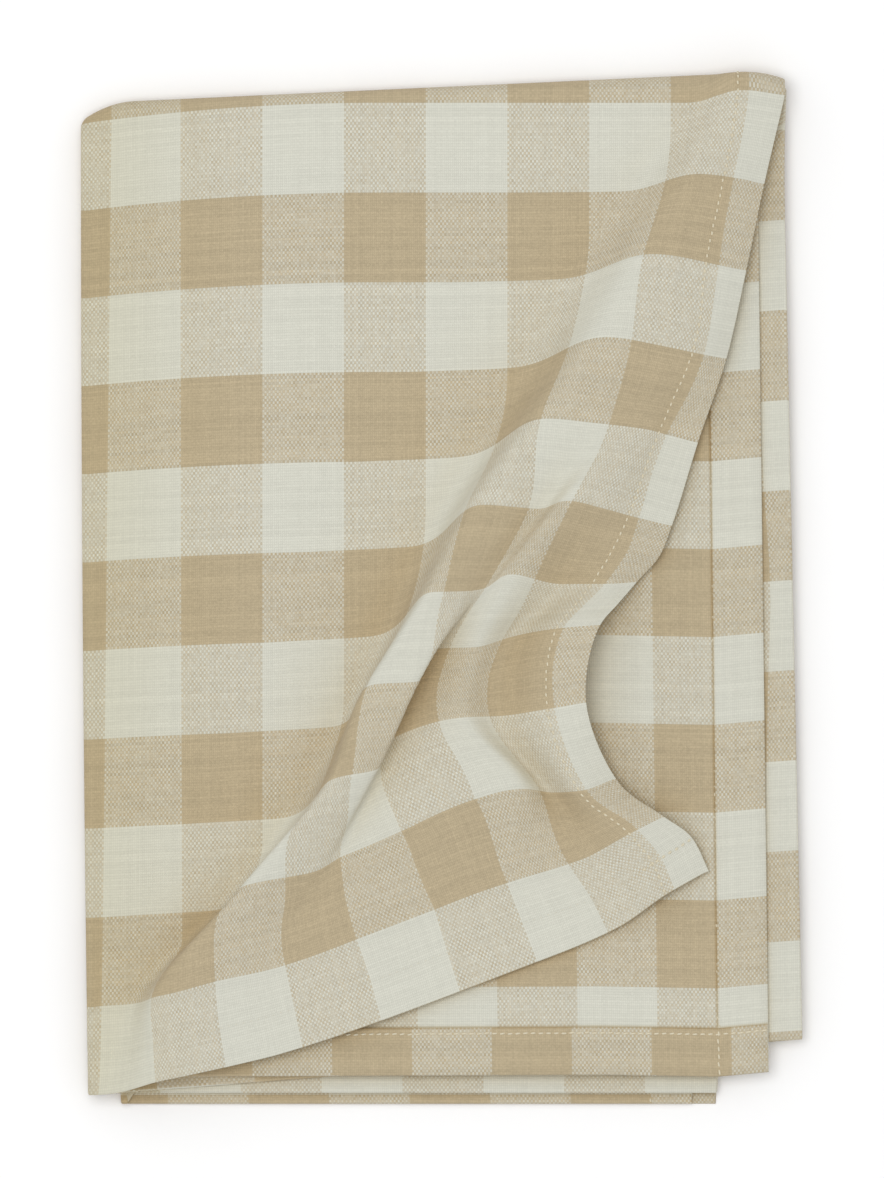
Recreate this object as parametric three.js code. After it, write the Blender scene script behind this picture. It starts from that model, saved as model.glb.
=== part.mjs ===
// A gingham tablecloth, folded to a quarter of its width and half of its length, and laid flat.
// The top layer's corner is pushed up and back, so that it stands in soft ridges over the layer below.
//
// Frame: millimetres, +X across the folded cloth towards its hems, +Y up to the top fold, +Z up.
// The origin is the middle of the folded cloth, on the surface that it lies on.
//
// The cloth is one sheet. Its width runs through four layers, from the top layer's hem round the
// left edge to the bottom layer, round the right edge, back to the left and out to the second hem.
// Its length runs up the four layers, over the top fold, and down under them as four more.
import * as THREE from "three";

// Sheet
const SHEET = 1.0; // thickness of the cloth
const LAYER_STEP = 2.1; // from the middle of one layer to the middle of the next
const HEM_WIDTH = 23.5; // of the edge turned over and sewn down
const HEM_EXTRA = 0.25; // what the turning adds to the thickness, on the wrong side
const HEM_RAMP = 1.2; // over which the extra thickness comes in

// Outline, measured from the lower left corner of the folded cloth
const LAYER_WIDTH = 354.5; // from the left fold to the top layer's hem, laid flat
const TOP_FOLD_LEFT = 492.7; // height of the top fold at the left edge
const TOP_FOLD_RISE = 0.046; // how much it climbs for each millimetre to the right
const TOP_LEFT_CORNER = { reach: 27, drop: 9, power: 2 };
const TOP_RIGHT_CORNER = { start: 322, reach: 30, drop: 6, power: 2.5 };
const LEFT_FOLD_DRIFT = 3.6; // how far the left fold wanders in by the bottom hem
const DRIFT_REACH = 110; // from the left fold, over which its drift dies away
const WEFT_SAG = { reach: 150, bottom: 3.7, top: 10.5 }; // of the weft threads near the left fold
const MIDDLE = { x: 180.4, y: 250.7 }; // the outline's middle, which becomes the origin

// Where the hidden layers end. top is at the top fold, bottom at the bottom hems.
const RIGHT_FOLD = { top: 351, bottom: 361 };
const SECOND_HEM = { top: 337.5, bottom: 343.5 };
const INNER_FOLD_INSET = 1.5; // the inner left fold sits this much inside the outer one
const HEM_LINE = { leftFold: -2.5, rightFold: 24.5, innerFold: 6.5, secondHem: 9 };

// The lower layers narrow towards their ends, and show past the upper ones at the bottom.
const LOWER_LEFT_INSET = 20;
const LOWER_RIGHT_INSET = 33;
const LOWER_HEM_LINE = { outer: -7, inner: -1.5 };

// The raised corner of the top layer. Each row is a section along one weft thread, b above the
// bottom hem. foot is the distance from the left fold, a, at which the thread leaves the layer
// below, and risen is how far it is pushed up there. Each other column is a line of the relief, as
// [a, drawn back to the left, pushed up, lifted], all in millimetres from where it lies when flat.
// A line that a section leaves out follows the curve through the others.
const RELIEF_LINES = ["crest", "brink", "tuck", "valley", "second", "dip", "third", "hem"];
const RELIEF = [
  {
    b: 0, foot: 5, risen: 0, crest: [56.5, 15, 6, 13.5], valley: [119, 20, 18, 7.5],
    second: [254, 26, 64, 1.5], dip: [301.5, 32.5, 81.5, 2], third: [331.5, 38.5, 98, 5],
    hem: [354.5, 41, 109.5, 1.5],
  },
  {
    b: 22.4, foot: 12.5, risen: 0.2, crest: [59, 17.5, 5, 16.5], valley: [121.5, 24.3, 16.9, 9],
    second: [254, 33.8, 61.9, 2.3], dip: [301.5, 41.3, 76.3, 2.5], third: [332.3, 45.8, 92.6, 9.3],
    hem: [354.5, 49.8, 104.1, 5.5],
  },
  {
    b: 44.8, foot: 20, risen: 0.5, crest: [61.5, 20, 4.2, 19.5], brink: [94, 24, 10.7, 15.5],
    valley: [124, 28.5, 15.7, 10.5], second: [254, 41.5, 59.7, 3], dip: [301.5, 52.5, 69.7, 3],
    third: [333, 57, 84.2, 13.5], hem: [354.5, 63.5, 91.7, 10],
  },
  {
    b: 89.6, foot: 65.5, risen: 1, crest: [109, 25, 13.4, 22], brink: [149, 32.5, 19.4, 15],
    valley: [172.5, 42, 27, 8.5], second: [275, 58, 61.9, 11], dip: [304, 70, 58.9, 1.5],
    third: [333, 82.5, 59.9, 15], hem: [354.5, 87.5, 65.9, 7],
  },
  {
    b: 134.4, foot: 99, risen: 1.5, crest: [159, 31, 21.6, 28], brink: [192, 43.5, 26.1, 21.5],
    tuck: [205, 55, 33.4, 12], valley: [219, 64, 40.7, 4.5], second: [274, 82.5, 51.6, 13],
    dip: [299, 91.5, 52.1, 4], third: [333, 98, 56.1, 16.5], hem: [354.5, 102.5, 59.1, 17],
  },
  {
    b: 179.2, foot: 125.5, risen: 2, crest: [179, 32, 23.3, 27], brink: [206, 37, 24.8, 24],
    tuck: [222, 56, 33, 12], valley: [240, 64, 41, 2], second: [275, 78, 41.8, 12],
    dip: [299, 84.5, 46.8, 4.5], third: [334, 93.5, 51.3, 16.5], hem: [354.5, 95.5, 52.8, 16.5],
  },
  {
    b: 201.6, foot: 135.3, risen: 2.2, crest: [191.5, 30, 24, 26.5], brink: [218.8, 38.3, 25, 23],
    valley: [247, 57, 34.5, 14], second: [277, 71, 37.8, 15.5], dip: [305.3, 78, 37.8, 5.3],
    third: [335.3, 84.8, 40, 12.8], hem: [354.5, 86.3, 41.3, 9.8],
  },
  {
    b: 224, foot: 145, risen: 2.3, crest: [204, 28, 24.5, 26.5], brink: [231.5, 39.5, 25, 22],
    valley: [254, 52, 26.5, 17], second: [279, 64, 33.5, 18], dip: [311.5, 71.5, 28.5, 6],
    third: [336.5, 76, 28.5, 9], hem: [354.5, 77, 29.5, 3],
  },
  {
    b: 246.4, foot: 155, risen: 2.3, crest: [215.3, 26.5, 23.9, 25.5], brink: [238.3, 34, 23.6, 22],
    valley: [257.8, 42.3, 23.9, 17], second: [286, 56.5, 29.4, 21.5],
    dip: [312.8, 62.8, 25.1, 12.5], third: [335.3, 65.5, 22.2, 9.8], hem: [354.5, 65.8, 19.6, 3.5],
  },
  {
    b: 268.8, foot: 165, risen: 2.3, crest: [226.5, 25, 23.2, 24.5], brink: [245, 28.5, 22.2, 22],
    valley: [261.5, 32.5, 21.2, 18], second: [293, 49, 25.2, 25], dip: [314, 54, 21.7, 19],
    third: [334, 57.5, 17.2, 10.5], hem: [354.5, 59.5, 12.7, 4],
  },
  {
    b: 313.6, foot: 189, risen: 2.3, crest: [259, 25.5, 21.4, 25], valley: [284, 29, 19.4, 22.5],
    dip: [321.5, 38, 15.9, 14], third: [337.5, 44.5, 13.4, 8], hem: [354.5, 46.5, 9.4, 4],
  },
  {
    b: 358.4, foot: 215, risen: 2, crest: [281.5, 18.5, 17.1, 25], dip: [313, 21.5, 12.6, 19.5],
    third: [341.5, 28, 8.1, 10.5], hem: [354.5, 32.5, 6.6, 4.5],
  },
  {
    b: 403.2, foot: 239, risen: 1.5, crest: [301, 15, 13.8, 20], third: [344, 20, 7.3, 10.5],
    hem: [354.5, 22.5, 5.8, 6],
  },
  {
    b: 448, foot: 271, risen: 0.5, crest: [315, 6.5, 9, 15], third: [342, 11.5, 6.5, 10],
    hem: [354.5, 13.5, 4, 5],
  },
  {
    b: 492.8, foot: 304, risen: 0, crest: [333, 3.5, 6.2, 8], hem: [354.5, 6, 3.7, 3],
  },
];
const RELIEF_LEAD = 50; // the cloth starts to be pushed up this far before the foot
const RELIEF_ROUNDING = 3; // each way along the thread, over which creases are rounded off

// Mesh steps
const TOP_LAYER_BANDS = [
  // across the top layer, from each distance to the next one nearer to the left fold
  { from: 331, cells: 5 },
  { from: 295, cells: 12 },
  { from: 175, cells: 11 },
  { from: 60, cells: 6 },
];
const TOP_LAYER_ROWS = 42; // up the top layer
const HIDDEN_ROWS = 4; // up a hidden layer
const HIDDEN_CELLS = 3; // across a hidden layer
const FOLD_CELLS = 4; // round a side fold
const BEND_ROWS = 6; // over the top fold
const LOWER_ROWS = 1; // down a lower layer
const NORMAL_REACH = 0.01; // of a stretch, each way, over which the cloth's tilt is taken

const CLOTH_LOOK = { color: "#cdbf9f", roughness: 0.92, metalness: 0 };

const { lerp, clamp } = THREE.MathUtils;
const BEND_HEIGHT = SHEET / 2 + 3.5 * LAYER_STEP; // the axis that all layers bend round
const OUTER_RADIUS = 1.5 * LAYER_STEP; // of the outer left fold
const INNER_RADIUS = 0.5 * LAYER_STEP; // of the inner left fold and the right fold
const FOLD_CENTRE = OUTER_RADIUS + SHEET / 2; // of the left folds, in from the edge

// The value at one station of a smooth curve through rows of numbers. Its slope at each row is
// the mean of the slopes on both sides, and where limited is true it never overshoots a row.
function curveAt(stations, rows, at, limited) {
  const last = stations.length - 1;
  const place = clamp(at, stations[0], stations[last]);
  let i = 0;
  while (i < last - 1 && place > stations[i + 1]) {
    i += 1;
  }
  const slopeBetween = (k, c) => (rows[k + 1][c] - rows[k][c]) / (stations[k + 1] - stations[k]);
  const slopeAt = (k, c) => {
    if (k === 0 || k === last) {
      return slopeBetween(Math.min(k, last - 1), c);
    }
    const before = slopeBetween(k - 1, c);
    const after = slopeBetween(k, c);
    const spanBefore = stations[k] - stations[k - 1];
    const spanAfter = stations[k + 1] - stations[k];
    if (!limited) {
      return (before * spanAfter + after * spanBefore) / (spanBefore + spanAfter);
    }
    return before * after <= 0 ? 0 : (2 * before * after) / (before + after);
  };
  const span = stations[i + 1] - stations[i];
  const t = (place - stations[i]) / span;
  return rows[i].map((value, c) => {
    const near = (1 + 2 * t) * (1 - t) ** 2 * value + t * (1 - t) ** 2 * span * slopeAt(i, c);
    const far = t * t * (3 - 2 * t) * rows[i + 1][c] + t * t * (t - 1) * span * slopeAt(i + 1, c);
    return near + far;
  });
}

// One section's lines in order, as [a, drawn, pushed, lifted], with the left-out ones filled in.
function sectionLines(section) {
  const flat = [
    [section.foot - RELIEF_LEAD, 0, 0, 0],
    [section.foot, 0, section.risen, 0],
  ];
  const given = [...flat, ...RELIEF_LINES.filter((name) => section[name]).map((name) => section[name])];
  const stations = given.map((line) => line[0]);
  const lines = RELIEF_LINES.map((name) => section[name] ?? null);
  lines.forEach((line, i) => {
    if (line) {
      return;
    }
    const next = lines.findIndex((other, k) => k > i && other);
    const before = i === 0 ? flat[1] : lines[i - 1];
    const a = lerp(before[0], lines[next][0], 1 / (next - i + 1));
    lines[i] = [a, ...curveAt(stations, given, a, true).slice(1)];
  });
  return [...flat, ...lines];
}

const RELIEF_STATIONS = RELIEF.map((section) => section.b);
const RELIEF_ROWS = RELIEF.map((section) => sectionLines(section).flat());

// How the top layer's thread crossing at (a, b) is moved from where it lies when flat.
function reliefAt(a, b) {
  const sectionRow = curveAt(RELIEF_STATIONS, RELIEF_ROWS, b, false);
  const lines = [];
  for (let i = 0; i < sectionRow.length; i += 4) {
    lines.push(sectionRow.slice(i, i + 4));
  }
  const stations = lines.map((line) => line[0]);
  const samples = [-1, 0, 1].map((side) => {
    const place = Math.min(a + side * RELIEF_ROUNDING, LAYER_WIDTH);
    return curveAt(stations, lines, place, true);
  });
  const mean = (c) => (samples[0][c] + samples[1][c] + samples[2][c]) / 3;
  return { drawn: mean(1), pushed: mean(2), lifted: Math.max(0, mean(3)) };
}

// Height of the top fold's bend axis at x.
function bendLine(x) {
  const left = clamp(1 - x / TOP_LEFT_CORNER.reach, 0, 1) ** TOP_LEFT_CORNER.power;
  const past = (x - TOP_RIGHT_CORNER.start) / TOP_RIGHT_CORNER.reach;
  const right = clamp(past, 0, 1.2) ** TOP_RIGHT_CORNER.power;
  const edge = TOP_FOLD_LEFT + TOP_FOLD_RISE * x - TOP_LEFT_CORNER.drop * left;
  return edge - TOP_RIGHT_CORNER.drop * right - BEND_HEIGHT;
}

// x of the left edge at a share of the way up, from 0 at the bottom hem to 1 at the top fold.
const leftEdge = (up) => LEFT_FOLD_DRIFT * (1 - up) ** 2;

// The section through the four layers. s counts its stretches, and each whole number is where a
// layer meets a fold. Returns x, the height h above the bend axis, and where the bottom hem lies.
function sectionAt(s, up) {
  const centre = leftEdge(up) + FOLD_CENTRE;
  const inner = centre + INNER_FOLD_INSET;
  const right = lerp(RIGHT_FOLD.bottom, RIGHT_FOLD.top, up) - FOLD_CENTRE / 2;
  const secondHem = lerp(SECOND_HEM.bottom, SECOND_HEM.top, up);
  const stretch = Math.min(6, Math.floor(s));
  const t = s - stretch;
  const around = (x, h, radius, from, to) => {
    const angle = lerp(from, to, t) * Math.PI;
    return { x: x + radius * Math.cos(angle), h: h + radius * Math.sin(angle) };
  };
  const hem = HEM_LINE;
  switch (stretch) {
    case 0:
      return { x: lerp(LAYER_WIDTH, centre, t), h: 3.5 * LAYER_STEP, hem: hem.leftFold };
    case 1:
      return { ...around(centre, 2 * LAYER_STEP, OUTER_RADIUS, 0.5, 1.5), hem: hem.leftFold };
    case 2:
      return {
        x: lerp(centre, right, t), h: 0.5 * LAYER_STEP, hem: lerp(hem.leftFold, hem.rightFold, t),
      };
    case 3:
      return { ...around(right, LAYER_STEP, INNER_RADIUS, -0.5, 0.5), hem: hem.rightFold };
    case 4:
      return {
        x: lerp(right, inner, t), h: 1.5 * LAYER_STEP, hem: lerp(hem.rightFold, hem.innerFold, t),
      };
    case 5:
      return { ...around(inner, 2 * LAYER_STEP, INNER_RADIUS, 1.5, 0.5), hem: hem.innerFold };
    default:
      return {
        x: lerp(inner, secondHem, t), h: 2.5 * LAYER_STEP, hem: lerp(hem.innerFold, hem.secondHem, t),
      };
  }
}

// How far the weft thread sags at a distance from the left fold, at a share of the way up.
function weftSag(a, up) {
  return lerp(WEFT_SAG.bottom, WEFT_SAG.top, up * up) * clamp(1 - a / WEFT_SAG.reach, 0, 1) ** 2;
}

// A point of the top layer's middle surface, at stretch share s and share w of the way up.
function topLayerPoint(s, w) {
  const a = lerp(LAYER_WIDTH, FOLD_CENTRE, s);
  const nearFold = clamp(1 - (a - FOLD_CENTRE) / DRIFT_REACH, 0, 1) ** 2;
  const drift = leftEdge(w) * nearFold;
  const atTop = reliefAt(a, RELIEF_STATIONS.at(-1));
  const low = weftSag(a, 0) + HEM_LINE.leftFold * nearFold;
  const high = weftSag(a, 1) + bendLine(a + drift - atTop.drawn) - atTop.pushed;
  const b = lerp(low, high, w);
  const relief = reliefAt(a, b);
  return new THREE.Vector3(
    a + drift - relief.drawn,
    b - weftSag(a, w) + relief.pushed,
    BEND_HEIGHT + 3.5 * LAYER_STEP + relief.lifted,
  );
}

// A point of the sheet's middle surface. s runs through the section, and w up the upper layers
// from 0 to 1, over the top fold to 2, and down the lower layers to 3.
function sheetPoint(s, w) {
  if (w <= 1) {
    if (s < 1) {
      return topLayerPoint(s, w);
    }
    const { x, h, hem } = sectionAt(s, w);
    return new THREE.Vector3(x, lerp(hem, bendLine(x), w), BEND_HEIGHT + h);
  }
  const start = sheetPoint(s, 1);
  const radius = sectionAt(s, 1).h;
  const lifted = start.z - BEND_HEIGHT - radius;
  const line = start.y;
  if (w <= 2) {
    const angle = (w - 1) * Math.PI;
    const reach = radius + lifted * Math.max(0, Math.cos(angle)) ** 2;
    return new THREE.Vector3(
      start.x, line + reach * Math.sin(angle), BEND_HEIGHT + reach * Math.cos(angle),
    );
  }
  const down = w - 2;
  const share = clamp(start.x / LAYER_WIDTH, 0, 1);
  const inset = lerp(LOWER_LEFT_INSET, -LOWER_RIGHT_INSET, share) * down;
  const isInner = clamp((2.5 * LAYER_STEP - radius) / LAYER_STEP, 0, 1);
  const end = lerp(LOWER_HEM_LINE.outer, LOWER_HEM_LINE.inner, isInner);
  return new THREE.Vector3(start.x + inset, lerp(line, end, down), BEND_HEIGHT - radius);
}

// The unit normal on the cloth's right side, which faces up on the top layer.
function sheetNormal(s, w) {
  const step = NORMAL_REACH;
  const alongS = sheetPoint(Math.min(7, s + step), w).sub(sheetPoint(Math.max(0, s - step), w));
  const alongW = sheetPoint(s, Math.min(3, w + step)).sub(sheetPoint(s, Math.max(0, w - step)));
  return alongW.cross(alongS).normalize();
}

// The extra thickness on the wrong side, where an edge is turned over.
function hemExtra(s, w) {
  const fromSide = Math.min(s * LAYER_WIDTH, (7 - s) * LAYER_WIDTH);
  const fromBottom = w * TOP_FOLD_LEFT;
  const fromEnd = (3 - w) * TOP_FOLD_LEFT;
  const nearest = Math.min(fromSide, fromBottom, fromEnd);
  return HEM_EXTRA * clamp((HEM_WIDTH - nearest) / HEM_RAMP, 0, 1);
}

const evenly = (from, to, cells) => Array.from({ length: cells }, (_, i) => lerp(from, to, i / cells));

// Where the mesh has its columns, as s, and the rows of one column, as w.
function columnPlaces() {
  const hem = HEM_WIDTH / LAYER_WIDTH;
  const ramp = HEM_RAMP / LAYER_WIDTH;
  const bands = TOP_LAYER_BANDS.flatMap(({ from, cells }, i) => {
    const to = TOP_LAYER_BANDS[i + 1]?.from ?? 0;
    return evenly(1 - from / LAYER_WIDTH, 1 - to / LAYER_WIDTH, cells);
  });
  return [
    0, hem / 2, hem - ramp, ...bands,
    ...evenly(1, 2, FOLD_CELLS + 1), ...evenly(2, 3, HIDDEN_CELLS), ...evenly(3, 4, FOLD_CELLS),
    ...evenly(4, 5, HIDDEN_CELLS), ...evenly(5, 6, FOLD_CELLS), ...evenly(6, 7 - hem, HIDDEN_CELLS),
    7 - hem, 7 - hem + ramp, 7,
  ];
}

function rowPlaces(s) {
  const hem = HEM_WIDTH / TOP_FOLD_LEFT;
  const ramp = HEM_RAMP / TOP_FOLD_LEFT;
  const rows = s < 1 ? TOP_LAYER_ROWS : HIDDEN_ROWS;
  return [
    0, ...(s < 1 ? [hem / 2] : []), hem - ramp, ...evenly(hem, 1, rows), ...evenly(1, 2, BEND_ROWS),
    ...evenly(2, 3 - hem, LOWER_ROWS), 3 - hem, 3 - hem + ramp, 3,
  ];
}

// The closed sheet: both faces, joined by narrow strips along the hems.
function clothGeometry() {
  const positions = [];
  const indices = [];
  const addPoint = (point) => positions.push(point.x - MIDDLE.x, point.y - MIDDLE.y, point.z) / 3 - 1;
  const columns = columnPlaces().map((s) => rowPlaces(s).map((w) => {
    const middle = sheetPoint(s, w);
    const normal = sheetNormal(s, w);
    const right = addPoint(middle.clone().addScaledVector(normal, SHEET / 2));
    const wrong = addPoint(middle.clone().addScaledVector(normal, -SHEET / 2 - hemExtra(s, w)));
    return { w, right, wrong };
  }));
  const addTriangle = (one, two, three) => {
    indices.push(one.right, two.right, three.right, one.wrong, three.wrong, two.wrong);
  };
  const addEdge = (one, two) => {
    indices.push(one.right, two.right, one.wrong, two.right, two.wrong, one.wrong);
  };
  // Two neighbouring columns may have different rows: the next triangle always takes the lower row.
  for (let c = 0; c + 1 < columns.length; c += 1) {
    const [left, right] = [columns[c], columns[c + 1]];
    let i = 0;
    let j = 0;
    while (i + 1 < left.length || j + 1 < right.length) {
      const takeLeft = j + 1 === right.length || (i + 1 < left.length && left[i + 1].w <= right[j + 1].w);
      if (takeLeft) {
        addTriangle(left[i], left[i + 1], right[j]);
        i += 1;
      } else {
        addTriangle(left[i], right[j + 1], right[j]);
        j += 1;
      }
    }
    addEdge(left[0], right[0]);
    addEdge(right.at(-1), left.at(-1));
  }
  const hems = [columns[0], columns.at(-1)];
  for (let i = 0; i + 1 < hems[0].length; i += 1) {
    addEdge(hems[0][i + 1], hems[0][i]);
  }
  for (let i = 0; i + 1 < hems[1].length; i += 1) {
    addEdge(hems[1][i], hems[1][i + 1]);
  }
  const geometry = new THREE.BufferGeometry();
  geometry.setAttribute("position", new THREE.Float32BufferAttribute(positions, 3));
  geometry.setIndex(indices);
  geometry.computeVertexNormals();
  return geometry;
}

const tablecloth = new THREE.Mesh(clothGeometry(), new THREE.MeshStandardMaterial(CLOTH_LOOK));
tablecloth.name = "tablecloth";

const cloth = new THREE.Group();
cloth.add(tablecloth);

export default cloth;
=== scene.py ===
"""A gingham tablecloth, folded to a quarter of its width and half of its length, and laid flat.

The cloth is one sheet. Its width runs through four layers, from the top layer's hem round the left
edge to the bottom layer, round the right edge, back to the left and out to the second hem. Its
length runs up the four layers, over the top fold, and down under them as four more. The top layer's
loose corner is pushed up and back, so that it stands in soft ridges over the layer below.
"""

import logging
from dataclasses import dataclass, field
from enum import Enum

import bpy
import numpy as np
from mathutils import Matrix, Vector


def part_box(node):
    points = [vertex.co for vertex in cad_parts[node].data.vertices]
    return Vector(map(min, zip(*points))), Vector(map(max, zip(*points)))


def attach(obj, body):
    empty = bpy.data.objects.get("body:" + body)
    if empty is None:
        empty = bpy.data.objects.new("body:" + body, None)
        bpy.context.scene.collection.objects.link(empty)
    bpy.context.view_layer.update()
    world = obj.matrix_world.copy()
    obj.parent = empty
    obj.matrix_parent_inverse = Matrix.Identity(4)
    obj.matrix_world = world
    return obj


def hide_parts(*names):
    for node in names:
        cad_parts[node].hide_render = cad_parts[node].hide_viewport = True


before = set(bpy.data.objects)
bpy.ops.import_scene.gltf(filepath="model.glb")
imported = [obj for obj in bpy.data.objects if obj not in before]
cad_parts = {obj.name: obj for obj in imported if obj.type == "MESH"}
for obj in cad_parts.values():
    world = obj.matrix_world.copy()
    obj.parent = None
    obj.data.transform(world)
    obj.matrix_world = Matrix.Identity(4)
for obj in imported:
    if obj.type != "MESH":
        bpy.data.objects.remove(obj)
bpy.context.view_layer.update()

MM = 0.001
SECTION_END = 7.0  # s at the second side hem
LENGTH_END = 3.0  # w at the lower hems
Array = np.ndarray
Colour = tuple[float, float, float, float]
log = logging.getLogger("tablecloth")


class Spacing(Enum):
    """How closely a column of the cloth's mesh is divided, by what of it can be seen."""

    TOP = "top layer"
    SECOND = "second layer"
    HIDDEN = "hidden layer"


def mixed(low: Array | float, high: Array | float, share: Array | float) -> Array | float:
    """The value at a share of the way from low to high."""
    return low + (high - low) * share


def curve_at(stations: Array, rows: Array, at: Array, limited: bool) -> Array:
    """Values on a smooth curve through rows of numbers.

    Args:
        stations: where each row stands, as (rows,) or, with a set for each place, (places, rows).
        rows: the numbers, as (rows, columns) or (places, rows, columns).
        at: the places asked for, which are held inside the stations.
        limited: whether the curve is kept from overshooting a row.

    Returns:
        The numbers at each place, as (places, columns).
    """
    stations = np.broadcast_to(stations, (len(at), stations.shape[-1]))
    rows = np.broadcast_to(rows, (len(at), *rows.shape[-2:]))
    gaps = np.diff(stations, axis=1)[..., None]
    rates = np.diff(rows, axis=1) / gaps
    before, after = rates[:, :-1], rates[:, 1:]
    if limited:
        total = np.where(before + after == 0.0, 1.0, before + after)
        inner = np.where(before * after > 0.0, 2.0 * before * after / total, 0.0)
    else:
        inner = (before * gaps[:, 1:] + after * gaps[:, :-1]) / (gaps[:, :-1] + gaps[:, 1:])
    slopes = np.concatenate([rates[:, :1], inner, rates[:, -1:]], axis=1)
    place = np.clip(at, stations[:, 0], stations[:, -1])
    one = np.arange(len(at))
    low = (stations[:, 1:-1] < place[:, None]).sum(axis=1)
    span = gaps[one, low]
    share = ((place - stations[one, low]) / span[:, 0])[:, None]
    back = 1.0 - share
    near = (1.0 + 2.0 * share) * back**2 * rows[one, low] + share * back**2 * span * slopes[one, low]
    far = share**2 * (3.0 - 2.0 * share) * rows[one, low + 1]
    return near + far - share**2 * back * span * slopes[one, low + 1]


@dataclass(frozen=True)
class Knot:
    """One point of a section through the relief.

    a is the distance from the left fold along the thread. The rest is how far the cloth there is
    moved from where it lies when flat: drawn back to the left, pushed up and lifted.
    """

    a: float
    drawn: float
    pushed: float
    lifted: float


@dataclass(frozen=True)
class Section:
    """A section of the relief along one weft thread, b above the bottom hem.

    The thread leaves the layer below at foot, where it is pushed up by risen. Each other field is a
    line of the relief that runs on from section to section. A line that is left out follows the
    curve through the others.
    """

    b: float
    foot: float
    risen: float
    crest: Knot
    hem: Knot
    brink: Knot | None = None
    tuck: Knot | None = None
    valley: Knot | None = None
    second: Knot | None = None
    dip: Knot | None = None
    third: Knot | None = None


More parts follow.
